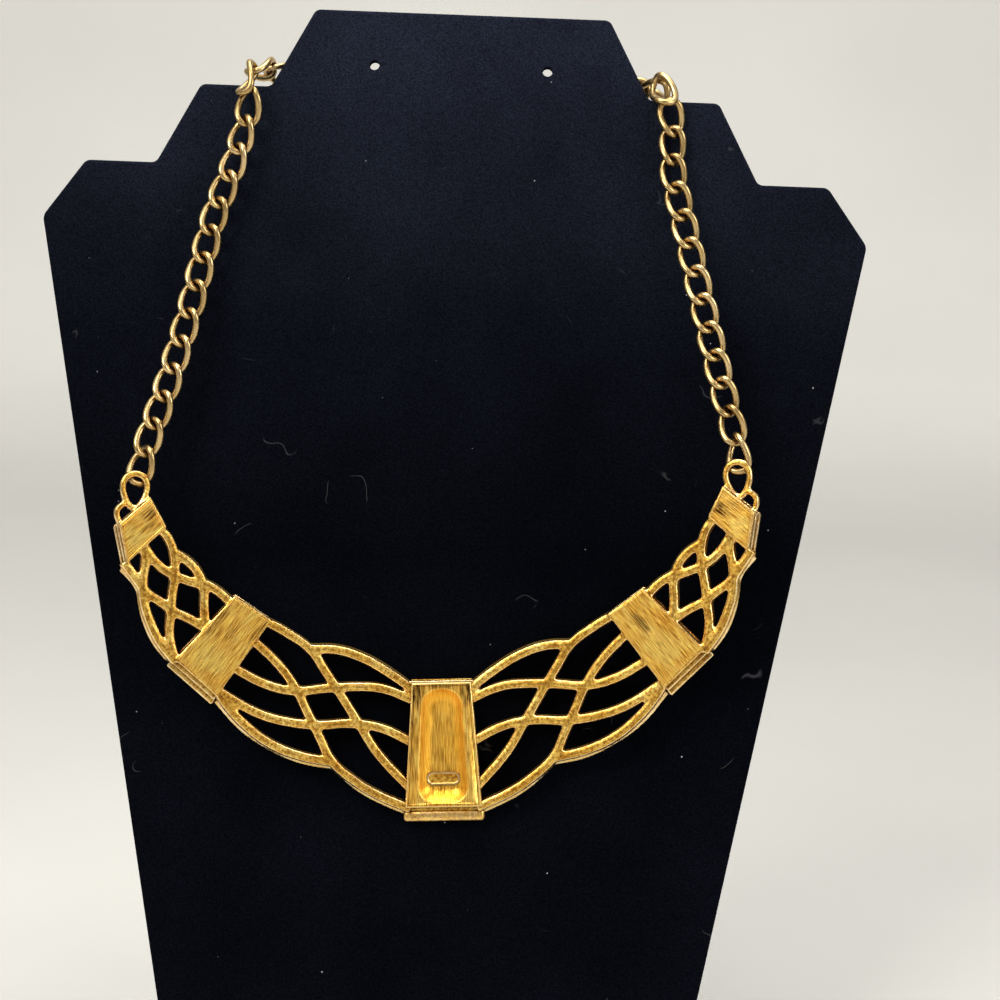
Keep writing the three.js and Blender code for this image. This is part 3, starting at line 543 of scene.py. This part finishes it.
# The side plates: two on each side, cast in one with the lattice, with drafted walls on a wider front tile.
# Their backs are brushed along the plate by hand, with brown tarnish in patches, painted highlights in bright
# patches, and pale edges that are partly wear and partly painted highlight.
TILE_THICKNESS = 1.8
PLATE_EDGE_RADIUS = 0.1
CROWN_SHARE = 0.94
CROWN_START = 2.0
STEP_START = 0.5
STEP_BACK = 3.3
STEP_RADIUS = 0.35
TILE_RADIUS = 0.45
PLATE_CREASE = math.radians(28)

# Stains and painted light on the plates' backs: brown tarnish, bright patches that are painted highlights,
# and orange patches, the two on the centre plate being a painted orange glow on the trough's top and foot
# walls. Columns: plate, place outwards and down the plate, half width, half length, strength and tint.
# Lengths are in millimetres, and each plate has its own stretch of the pattern.
BROWN = (0.07, 0.026, 0.008)
ORANGE = (0.66, 0.28, 0.02)
# Bright patches: painted highlights.
PAINTED_HIGHLIGHT = (1.0, 0.75, 0.21)
PLATE_SPACING = 40
MIDDLE_LEFT, MIDDLE_RIGHT, END_LEFT, END_RIGHT, CENTRE = range(5)
PLATE_STAINS_AND_LIGHT = [
    (MIDDLE_LEFT, 0.5, 15.5, 5.5, 5.0, 0.7, PAINTED_HIGHLIGHT),
    (MIDDLE_LEFT, 4.6, 7.5, 1.4, 6.5, 0.7, BROWN),
    (MIDDLE_LEFT, -4.4, 3.0, 1.2, 5.0, 0.6, BROWN),
    (MIDDLE_LEFT, 0.4, 7.5, 1.6, 3.5, 0.4, BROWN),
    (MIDDLE_LEFT, -2.2, 18.6, 3.2, 1.8, 0.7, ORANGE),
    (MIDDLE_RIGHT, 0.0, 14.0, 4.5, 6.5, 0.7, PAINTED_HIGHLIGHT),
    (MIDDLE_RIGHT, -0.6, 6.2, 1.3, 4.4, 1.0, BROWN),
    (MIDDLE_RIGHT, 3.4, 9.0, 1.8, 6.0, 0.6, ORANGE),
    (MIDDLE_RIGHT, 1.4, 18.4, 3.4, 1.6, 0.8, ORANGE),
    (END_LEFT, -0.5, 8.0, 3.4, 2.8, 0.8, PAINTED_HIGHLIGHT),
    (END_LEFT, 1.2, 2.0, 1.8, 2.2, 0.85, BROWN),
    (END_LEFT, -1.0, 4.2, 1.0, 2.6, 0.6, BROWN),
    (END_RIGHT, -1.0, 8.4, 3.4, 2.6, 0.8, PAINTED_HIGHLIGHT),
    (END_RIGHT, -0.4, 2.4, 2.0, 2.8, 0.95, BROWN),
    (END_RIGHT, 2.0, 4.4, 1.0, 2.6, 0.6, BROWN),
    (CENTRE, -6.2, 2.0, 2.3, 5.5, 1.0, BROWN),
    (CENTRE, 6.3, 1.6, 2.1, 5.0, 1.0, BROWN),
    (CENTRE, 0.0, 0.7, 6.0, 1.1, 0.7, BROWN),
    (CENTRE, -7.2, 10.0, 0.9, 11.0, 0.6, BROWN),
    (CENTRE, 7.6, 25.0, 1.8, 4.6, 0.8, PAINTED_HIGHLIGHT),
    # Painted orange glow on the trough's top and foot walls.
    (CENTRE, 0.0, 26.6, 5.6, 2.4, 1.0, ORANGE),
    (CENTRE, 0.0, 2.8, 3.6, 1.4, 0.6, ORANGE),
]

brushed_gold, nodes, links, shader = new_material("brushed gold")
strokes = pattern(nodes, links, "ShaderNodeTexNoise", 1.0, stretch=(4.3, 0.26, 1), source="UV", detail=3)
long_strokes = pattern(nodes, links, "ShaderNodeTexNoise", 1.0, stretch=(1.6, 0.2, 1), source="UV", detail=4)
patches = pattern(nodes, links, "ShaderNodeTexNoise", 0.2, stretch=(1, 0.7, 1), source="UV", detail=5)
yellow = ramp(nodes, links, long_strokes.outputs["Fac"],
              [(0.3, (0.90, 0.51, 0.09)), (0.5, (1.0, 0.61, 0.13)), (0.7, (1.0, 0.69, 0.19))])
yellow.node.label = "yellow"
warm_share = ramp(nodes, links, patches.outputs["Fac"], [(0.45, 0.0), (0.7, 0.5)])
tarnish_and_light = blended(nodes, links, warm_share, yellow, (0.76, 0.38, 0.035))
for plate_number, outwards, along, half_width, half_length, strength, tint in PLATE_STAINS_AND_LIGHT:
    coords = nodes.new("ShaderNodeTexCoord")
    centred = nodes.new("ShaderNodeMapping")
    centred.inputs["Scale"].default_value = (1 / half_width, 1 / half_length, 0)
    centred.inputs["Location"].default_value = (-(PLATE_SPACING * plate_number + outwards) / half_width,
                                                -along / half_length, 0)
    away = nodes.new("ShaderNodeVectorMath")
    away.operation = "LENGTH"
    links.new(coords.outputs["UV"], centred.inputs["Vector"])
    links.new(centred.outputs["Vector"], away.inputs[0])
    stain_and_light_share = ramp(nodes, links, away.outputs["Value"], [(0.45, strength), (1.0, 0.0)])
    broken = ramp(nodes, links, strokes.outputs["Fac"], [(0.42, 1.0), (0.57, 0.35)])
    tarnish_and_light = blended(nodes, links, multiplied(nodes, links, stain_and_light_share, broken), tarnish_and_light, tint)
brushing = ramp(nodes, links, strokes.outputs["Fac"],
                [(0.38, (0.72, 0.56, 0.36)), (0.5, (1.0, 0.96, 0.9)), (0.62, (1.22, 1.17, 1.06))])
brushed = multiplied(nodes, links, tarnish_and_light, brushing)
# Pale rims on the bevels, the step and the tile: partly wear and partly painted highlight.
rim_wear_and_highlight = ramp(nodes, links, painted(nodes, "edge"), [(0.3, 0.0), (1.0, 1.0)])
coloured = blended(nodes, links, rim_wear_and_highlight, brushed, (0.90, 0.62, 0.22))
# Brown tarnish and painted shade darken the crevices, such as the walls below the plate's back.
crevice_tarnished_and_shaded = crevice_tarnish_and_shade(nodes, links, coloured, 0.002, [(0.3, (0.16, 0.07, 0.015)), (0.8, (1.0, 1.0, 1.0))])
links.new(crevice_tarnished_and_shaded, shader.inputs["Base Color"])
shader.inputs["Metallic"].default_value = 1.0
links.new(ramp(nodes, links, strokes.outputs["Fac"], [(0.3, 0.30), (0.7, 0.44)]), shader.inputs["Roughness"])
waves = roughened(nodes, links, patches.outputs["Fac"], 0.6, 0.0006)
links.new(roughened(nodes, links, strokes.outputs["Fac"], 0.5, 0.00012, waves), shader.inputs["Normal"])


def raised(bm, outline, low, high, radius, groove):
    """A slab on an outline in the bib's flat plane; gives back the face of its back, inside a narrow rim."""
    face = bm.faces.new([bm.verts.new((*point, low)) for point in outline])
    back = bmesh.ops.extrude_face_region(bm, geom=[face])
    top = [v for v in back["geom"] if isinstance(v, bmesh.types.BMVert)]
    for v in top:
        v.co.z = high
    slab = list({e for v in face.verts for e in v.link_edges} | {e for v in top for e in v.link_edges})
    rounded(bm, slab, radius, 3)
    bm.faces.ensure_lookup_table()
    crown = max(bm.faces, key=lambda f: (abs(f.calc_center_median().z - high) < 0.01) * f.calc_area())
    bmesh.ops.inset_region(bm, faces=[crown], thickness=0.12, depth=0)
    if groove:
        bmesh.ops.inset_region(bm, faces=[crown], thickness=0.25, depth=0)
        bmesh.ops.inset_region(bm, faces=[crown], thickness=0.1, depth=-0.16)
        bmesh.ops.inset_region(bm, faces=[crown], thickness=0.16, depth=0.1)
    return crown


def plate_mesh(name, slabs, axis, outwards, origin, number):
    bm = bmesh.new()
    wear_and_highlight = bm.verts.layers.float.new("edge")
    for outline, low, high, radius, groove, rim in slabs:
        before = set(bm.verts)
        crown = raised(bm, outline, low, high, radius, groove)
        for v in bm.verts:
            if v not in before:
                v[wear_and_highlight] = 0 if v in crown.verts else rim
        for f in bm.faces:
            if rim == 1 and all(v not in before for v in f.verts):
                f.material_index = 1
    bmesh.ops.recalc_face_normals(bm, faces=bm.faces)
    grain = bm.loops.layers.uv.new("UVMap")
    for f in bm.faces:
        f.smooth = True
        for loop in f.loops:
            offset = loop.vert.co.xy - origin
            loop[grain].uv = (offset.dot(outwards) + PLATE_SPACING * number, offset.dot(axis))
    for e in bm.edges:
        if len(e.link_faces) == 2 and e.calc_face_angle() > PLATE_CREASE:
            e.smooth = False
    return mesh_of(name, bm)


for side_name, side in (("left", -1), ("right", 1)):
    for plate_name, plate in PLATES.items():
        at = corners[plate_name]
        down_in = (at["foot_in"] - at["top_in"]).normalized()
        down_out = (at["foot_out"] - at["top_out"]).normalized()
        across = (at["foot_out"] - at["foot_in"]).normalized()
        lip = plate["lip"]
        body = [at["top_in"], at["foot_in"], at["foot_out"], at["top_out"]]
        tile = [at["top_in"] - down_in * 0.3 - across * 0.15, at["foot_in"] + down_in * lip - across * 0.3,
                at["foot_out"] + down_out * lip + across * 0.3,
                at["top_out"] - down_out * 0.3 + across * 0.15]
        step = [at["top_in"] + down_in + across * 0.4, at["foot_in"] + down_in * lip * 0.45,
                at["foot_out"] + down_out * lip * 0.45, at["top_out"] + down_out - across * 0.4]
        body, tile, step = ([Vector((side * p.x, p.y)) for p in outline] for outline in (body, tile, step))
        lean = math.radians(plate["lean"])
        axis = Vector((side * math.sin(lean), -math.cos(lean)))
        outwards = Vector((side * math.cos(lean), math.sin(lean)))
        origin = Vector((side * plate["top"][0], plate["top"][1]))
        number = {("middle", -1): MIDDLE_LEFT, ("middle", 1): MIDDLE_RIGHT, ("end", -1): END_LEFT,
                  ("end", 1): END_RIGHT}[plate_name, side]
        middle = sum(body, Vector((0, 0))) / 4
        crown = [middle + (p - middle) * CROWN_SHARE for p in body]
        slabs = [(crown, CROWN_START, BODY_BACK, PLATE_EDGE_RADIUS, plate_name == "end", 0.6),
                 (step, STEP_START, STEP_BACK, STEP_RADIUS, False, 1.0),
                 (tile, 0.0, TILE_THICKNESS, TILE_RADIUS, False, 1.0)]
        mesh = plate_mesh(plate_name, slabs, axis, outwards, origin, number)
        curved_onto_board(mesh)
        finished(plate_name + "_plate_" + side_name, mesh, [brushed_gold, cast_gold],
                 "bib_casting")


# The centre plate: cast in one with the rest, with a deep trough in its back and a small raised oval plaque,
# bare here, on the trough's floor. Its front tile shows as a rod above it and as a rounded lip below it.
TROUGH_TOP_HALF = 4.8
TROUGH_FOOT_HALF = 6.1
TROUGH_DROP = 1.3
PLAQUE_HALF = 3.9
PLAQUE_HEIGHT = 3.0
PLAQUE_DROP = 22.3
PLAQUE_RISE = 0.65
CENTRE_START = 0.9
CENTRE_EDGE_RADIUS = 0.3
CENTRE_CREASE = math.radians(32)
# Colours of the trough, darker and oranger than the brushed gold: painted shade of the recess, and a painted
# orange glow on its walls.
SHADED_TROUGH_GOLD = [(0.76, 0.42, 0.06), (0.82, 0.48, 0.08), (0.88, 0.55, 0.11)]
WALL_GLOW_ORANGE = (0.95, 0.49, 0.04)

# A shaded copy of the brushed gold for the trough, with a longer reach for the crevice darkening of tarnish
# and painted shade.
shaded_trough_gold = brushed_gold.copy()
shaded_trough_gold.name = "shaded trough gold"
for node in shaded_trough_gold.node_tree.nodes:
    if node.type == "AMBIENT_OCCLUSION":
        node.inputs["Distance"].default_value = 0.0035
    if node.label == "yellow":
        for element, shade in zip(node.color_ramp.elements, SHADED_TROUGH_GOLD):
            element.color = (*shade, 1)

nodes, links = shaded_trough_gold.node_tree.nodes, shaded_trough_gold.node_tree.links
shader = next(node for node in nodes if node.type == "BSDF_PRINCIPLED")
# An orange glow painted onto the trough's walls, strongest halfway down them.
wall_glow = ramp(nodes, links, painted(nodes, "wall"), [(0.05, 0.0), (1.0, 0.6)])
floor_gold = shader.inputs["Base Color"].links[0].from_socket
links.new(blended(nodes, links, wall_glow, floor_gold, WALL_GLOW_ORANGE), shader.inputs["Base Color"])

bm = bmesh.new()
wear_and_highlight = bm.verts.layers.float.new("edge")
face = bm.faces.new([bm.verts.new((x, y, CENTRE_START)) for x, y in (
    (-CENTRE_TOP_HALF, 0), (-CENTRE_FOOT_HALF, -CENTRE_HEIGHT), (CENTRE_FOOT_HALF, -CENTRE_HEIGHT),
    (CENTRE_TOP_HALF, 0))])
thickened(bm, [face], (0, 0, BODY_BACK - CENTRE_START))
rounded(bm, bm.edges[:], CENTRE_EDGE_RADIUS, 3)
crown = max(bm.faces, key=lambda f: (abs(f.calc_center_median().z - BODY_BACK) < 0.01) * f.calc_area())
# Pale edges all round except on the back's crown: partly wear and partly painted highlight.
for v in bm.verts:
    v[wear_and_highlight] = 1
bmesh.ops.inset_region(bm, faces=[crown], thickness=0.12, depth=0)
for v in crown.verts:
    v[wear_and_highlight] = 0
bmesh.ops.inset_region(bm, faces=[crown], thickness=0.4, depth=0)
bmesh.ops.inset_region(bm, faces=[crown], thickness=0.09, depth=-0.12)
bmesh.ops.inset_region(bm, faces=[crown], thickness=0.12, depth=0.1)
bmesh.ops.inset_region(bm, faces=[crown], thickness=0.2, depth=0)
for v in crown.verts:
    at_top = v.co.y > -CENTRE_HEIGHT / 2
    v.co.x = math.copysign(TROUGH_TOP_HALF if at_top else TROUGH_FOOT_HALF, v.co.x)
    v.co.y = -TROUGH_DROP if at_top else -CENTRE_HEIGHT + 0.9
for at_top, radius in ((True, 4.3), (False, 4.0)):
    turns = [v for v in crown.verts if (v.co.y > -CENTRE_HEIGHT / 2) == at_top]
    rounded(bm, turns, radius, 7, affect="VERTICES")
    crown = max((f for f in bm.faces if abs(f.normal.z) > 0.9 and abs(f.calc_center_median().x) < 0.5),
                key=lambda f: (f.calc_center_median().z > 3) * f.calc_area())
steps = [(0.2, -0.12), (0.4, -0.4), (0.6, -0.55), (0.7, -0.5), (0.7, -0.35), (0.5, -0.16)]
# How much painted orange glow each ring of the trough's wall takes.
wall = bm.verts.layers.float.new("wall")
for (thickness, depth), shine in zip(steps, (0.35, 0.75, 1.0, 0.85, 0.5, 0.2)):
    bmesh.ops.inset_region(bm, faces=[crown], thickness=thickness, depth=depth)
    for v in crown.verts:
        v[wall] = shine
trough_faces = {crown} | {f for f in bm.faces if f.calc_center_median().z < BODY_BACK - 0.1
                          and abs(f.calc_center_median().x) < CENTRE_TOP_HALF - 1.2
                          and f.calc_center_median().z > 1.9 and -27 < f.calc_center_median().y < -1.2}
bmesh.ops.recalc_face_normals(bm, faces=bm.faces)
for f in bm.faces:
    f.material_index = 1 if f in trough_faces else 0
# Rods of the front tile. Their shine sets how much of the pale rim colour, partly wear and partly painted
# highlight, they take.
for y_low, y_high, half, z_low, z_high, round_over, shine in (
        (-0.15, 0.45, CENTRE_TOP_HALF + 0.5, 1.6, 4.5, 0.2, 1.0),
        (-0.3, 0.6, CENTRE_TOP_HALF + 0.2, 0.1, 1.8, 0.3, 0.2),
        (-CENTRE_HEIGHT - 1.2, -CENTRE_HEIGHT + 0.5, CENTRE_FOOT_HALF + 0.3, 0.1, 2.6, 0.3, 0.0),
        (-CENTRE_HEIGHT - 3.5, -CENTRE_HEIGHT - 0.75, CENTRE_FOOT_HALF + 0.5, 0.1, 3.0, 0.9, 0.45)):
    before = set(bm.verts)
    face = bm.faces.new([bm.verts.new((x, y, z_low)) for x, y in
                         ((-half, y_high), (-half, y_low), (half, y_low), (half, y_high))])
    thickened(bm, [face], (0, 0, z_high - z_low))
    rod = [e for e in bm.edges if e.verts[0] not in before and e.verts[1] not in before]
    rounded(bm, rod, round_over, 4)
    for v in bm.verts:
        if v not in before:
            v[wear_and_highlight] = shine
    for f in bm.faces:
        if all(v not in before for v in f.verts):
            f.material_index = 2
floor_height = BODY_BACK - 0.02 + sum(depth for _, depth in steps)
before = set(bm.verts)
bmesh.ops.create_circle(bm, cap_ends=True, segments=28, radius=PLAQUE_HEIGHT / 2)
for v in bm.verts:
    if v not in before:
        v.co.x += (PLAQUE_HALF - PLAQUE_HEIGHT / 2) * (1 if v.co.x > 0 else -1)
        v.co.y -= PLAQUE_DROP
        v.co.z += floor_height - 0.1
plaque = [f for f in bm.faces if all(v not in before for v in f.verts)]
pulled = thickened(bm, plaque, (0, 0, PLAQUE_RISE))
plaque_top = [f for f in pulled if isinstance(f, bmesh.types.BMFace)]
bmesh.ops.inset_region(bm, faces=plaque_top, thickness=0.3, depth=0.0)
bmesh.ops.inset_region(bm, faces=plaque_top, thickness=0.25, depth=-0.16)
for v in bm.verts:
    if v not in before:
        v[wear_and_highlight] = 0.0 if any(v in f.verts for f in plaque_top) else 0.8
for f in bm.faces:
    if all(v not in before for v in f.verts):
        f.material_index = 2
bmesh.ops.recalc_face_normals(bm, faces=bm.faces)
grain = bm.loops.layers.uv.new("UVMap")
for f in bm.faces:
    f.smooth = True
    for loop in f.loops:
        loop[grain].uv = (loop.vert.co.x + PLATE_SPACING * CENTRE, -loop.vert.co.y)
for e in bm.edges:
    if len(e.link_faces) == 2 and e.calc_face_angle() > CENTRE_CREASE:
        e.smooth = False
centre_mesh = mesh_of("centre_plate", bm)
curved_onto_board(centre_mesh)
finished("centre_plate", centre_mesh, [brushed_gold, shaded_trough_gold, cast_gold], "bib_casting")


# The curb chain: twisted oval links of round wire, each through the next, paler gold than the casting.
# Every link here is laid on its own plain link, and the ring behind the board closes the chain.
LINK_INNER_LENGTH = 6.85
LINK_WIDTH = 6.6
LINK_WIRE = 1.58
LINK_TWIST = math.radians(48)
LINK_FULLNESS = 2.6
CLASP_INNER_LENGTH = 9.2
CLASP_WIDTH = 8
CLASP_WIRE = 1.6
SPIN_RADIUS = 10


def shaped_ring(name, middle_line, wire, around=40, sides=14):
    bm = bmesh.new()
    circle = bmesh.ops.create_circle(bm, segments=sides, radius=wire / 2)["verts"]
    bmesh.ops.rotate(bm, verts=circle, cent=(0, 0, 0), matrix=Matrix.Rotation(math.pi / 2, 3, "X"))
    bmesh.ops.translate(bm, verts=circle, vec=(SPIN_RADIUS, 0, 0))
    bmesh.ops.spin(bm, geom=bm.verts[:] + bm.edges[:], axis=(0, 0, 1), cent=(0, 0, 0), steps=around,
                   angle=2 * math.pi, use_merge=True)
    for v in bm.verts:
        angle = math.atan2(v.co.y, v.co.x)
        outward = math.hypot(v.co.x, v.co.y) - SPIN_RADIUS
        at = middle_line(angle)
        ahead = (middle_line(angle + 0.001) - at).normalized()
        v.co = (at.x + ahead.y * outward, at.y - ahead.x * outward, v.co.z)
    bmesh.ops.recalc_face_normals(bm, faces=bm.faces)
    for f in bm.faces:
        f.smooth = True
    return mesh_of(name, bm)


chain_gold, nodes, links, shader = new_material("pale chain gold")
rub = pattern(nodes, links, "ShaderNodeTexNoise", 700, detail=3)
cloud = pattern(nodes, links, "ShaderNodeTexNoise", 120, detail=4)
pale = ramp(nodes, links, cloud.outputs["Fac"],
            [(0.3, (0.42, 0.28, 0.11)), (0.5, (0.58, 0.41, 0.18)), (0.7, (0.71, 0.53, 0.28))])
# Brown tarnish and painted shade darken the crevices where the links meet.
crevice_tarnished_and_shaded = crevice_tarnish_and_shade(nodes, links, pale, 0.0015, [(0.3, (0.28, 0.16, 0.07)), (0.8, (1.0, 1.0, 1.0))])
links.new(crevice_tarnished_and_shaded, shader.inputs["Base Color"])
shader.inputs["Metallic"].default_value = 1.0
links.new(ramp(nodes, links, rub.outputs["Fac"], [(0.3, 0.26), (0.7, 0.38)]), shader.inputs["Roughness"])
links.new(roughened(nodes, links, rub.outputs["Fac"], 0.2, 0.0002), shader.inputs["Normal"])


def full_oval(inner_length, width, wire):
    def at(angle):
        shares = [math.copysign(abs(part) ** (2 / LINK_FULLNESS), part)
                  for part in (math.cos(angle), math.sin(angle))]
        return Vector((shares[0] * (width - wire) / 2, shares[1] * (inner_length + wire) / 2))
    return at


def laid_on(mesh, node):
    """Turns a ring's mesh, lengthwise along y, onto the middle and the main directions of a CAD ring."""
    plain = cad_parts[node].data
    middles = np.array([polygon.center for polygon in plain.polygons])
    weights = np.array([polygon.area for polygon in plain.polygons])[:, None]
    centre = (middles * weights).sum(0) / weights.sum()
    spread = (middles - centre).T @ ((middles - centre) * weights)
    directions = np.linalg.eigh(spread)[1]
    thin, wide, long = (Vector(directions[:, column]) for column in range(3))
    if wide.cross(long).dot(thin) < 0:
        thin = -thin
    place = Matrix((wide, long, thin)).transposed().to_4x4()
    mesh.transform(Matrix.Translation(Vector(centre)) @ place @ Matrix.Scale(MM, 4))
    mesh.update()


link_half = LINK_INNER_LENGTH / 2 + LINK_WIRE
for node in sorted(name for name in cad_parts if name.startswith("link_")):
    link_mesh = shaped_ring(node, full_oval(LINK_INNER_LENGTH, LINK_WIDTH, LINK_WIRE), LINK_WIRE)
    for v in link_mesh.vertices:
        turn = v.co.y / link_half * LINK_TWIST
        x, z = v.co.x, v.co.z
        v.co.x = x * math.cos(turn) - z * math.sin(turn)
        v.co.z = x * math.sin(turn) + z * math.cos(turn)
    laid_on(link_mesh, node)
    finished(node.replace("link", "curb_link"), link_mesh, [chain_gold], node)

clasp_mesh = shaped_ring("clasp_ring", full_oval(CLASP_INNER_LENGTH, CLASP_WIDTH, CLASP_WIRE), CLASP_WIRE)
laid_on(clasp_mesh, "clasp")
finished("clasp_ring", clasp_mesh, [chain_gold], "clasp")


# Floor and backdrop, soft studio light, and the camera square to the board's face, turned a little.
STAGE_HALF = 2.2
STAGE_FRONT = 2.5
STAGE_BACK = 0.75
STAGE_WALL_HEIGHT = 2
COVE_RADIUS = 0.5
CAMERA_DISTANCE = 480
CAMERA_AT = (12.93, 157.2)
CAMERA_ROLL = math.radians(2.2)
VIEW_WIDTH = 233

stage, nodes, links, shader = new_material("pale stage")
mottle = pattern(nodes, links, "ShaderNodeTexNoise", 6, detail=3)
pale = ramp(nodes, links, mottle.outputs["Fac"], [(0.3, (0.57, 0.56, 0.525)), (0.7, (0.60, 0.59, 0.555))])
place = nodes.new("ShaderNodeTexCoord")
depth = nodes.new("ShaderNodeSeparateXYZ")
links.new(place.outputs["Object"], depth.inputs["Vector"])
far_shade = ramp(nodes, links, depth.outputs["Y"], [(0.12, 0.92), (0.4, 0.76), (0.65, 0.76), (0.95, 1.03)])
links.new(multiplied(nodes, links, pale, far_shade), shader.inputs["Base Color"])
shader.inputs["Roughness"].default_value = 0.7

bm = bmesh.new()
start = [bm.verts.new((across, -STAGE_FRONT, 0)) for across in (-STAGE_HALF, STAGE_HALF)]
edge_line = bm.edges.new(start)
far = bmesh.ops.extrude_edge_only(bm, edges=[edge_line])
far_edge = [e for e in far["geom"] if isinstance(e, bmesh.types.BMEdge)][0]
bmesh.ops.translate(bm, verts=far_edge.verts[:], vec=(0, STAGE_FRONT + STAGE_BACK, 0))
bmesh.ops.spin(bm, geom=[far_edge] + far_edge.verts[:], axis=(1, 0, 0), cent=(0, STAGE_BACK, COVE_RADIUS),
               steps=16, angle=math.pi / 2)
top_edge = max(bm.edges, key=lambda e: min(v.co.z for v in e.verts))
wall = bmesh.ops.extrude_edge_only(bm, edges=[top_edge])
bmesh.ops.translate(bm, verts=[v for v in wall["geom"] if isinstance(v, bmesh.types.BMVert)],
                    vec=(0, 0, STAGE_WALL_HEIGHT))
bmesh.ops.recalc_face_normals(bm, faces=bm.faces)
for f in bm.faces:
    f.smooth = True
stage_mesh = mesh_of("stage", bm)
stage_mesh.materials.append(stage)
stage_piece = bpy.data.objects.new("stage", stage_mesh)
bpy.context.scene.collection.objects.link(stage_piece)

for name, place, size, power, tint in (
        ("key", (-0.7, -0.8, 1.1), 0.7, 18, (1.0, 0.98, 0.94)),
        ("fill", (0.95, -0.6, 0.6), 0.6, 6, (1.0, 0.99, 0.97)),
        ("top", (0.1, 0.1, 1.3), 0.9, 14, (1.0, 0.99, 0.97))):
    light = bpy.data.lights.new(name, "AREA")
    light.size = size
    light.energy = power
    light.color = tint
    lamp = bpy.data.objects.new(name, light)
    lamp.location = place
    lamp.rotation_euler = (Vector((0, 0, 0.14)) - Vector(place)).to_track_quat("-Z", "Y").to_euler()
    bpy.context.scene.collection.objects.link(lamp)

bpy.context.scene.view_settings.view_transform = "Standard"
world = bpy.data.worlds.new("soft studio")
bpy.context.scene.world = world
world.use_nodes = True
nodes = world.node_tree.nodes
links = world.node_tree.links
sky = nodes["Background"]
sky.inputs["Strength"].default_value = 0.38
heights = nodes.new("ShaderNodeTexCoord")
split = nodes.new("ShaderNodeSeparateXYZ")
links.new(heights.outputs["Generated"], split.inputs["Vector"])
span = nodes.new("ShaderNodeMapRange")
span.inputs["From Min"].default_value = -1
links.new(split.outputs["Z"], span.inputs["Value"])
sky_light = ramp(nodes, links, span.outputs["Result"],
                 [(0.0, (0.12, 0.11, 0.10)), (0.5, (0.35, 0.34, 0.32)), (0.64, (1.0, 0.98, 0.95)),
                  (1.0, (1.3, 1.3, 1.3))])
links.new(sky_light, sky.inputs["Color"])

camera_data = bpy.data.cameras.new("camera")
camera_data.lens = camera_data.sensor_width * CAMERA_DISTANCE / VIEW_WIDTH
camera_data.clip_start = 0.01
camera = bpy.data.objects.new("camera", camera_data)
camera.matrix_world = (Matrix.Translation(board_place @ Vector((*CAMERA_AT, CAMERA_DISTANCE)))
                       @ upright @ Matrix.Rotation(CAMERA_ROLL, 4, "Z"))
bpy.context.scene.collection.objects.link(camera)
bpy.context.scene.camera = camera
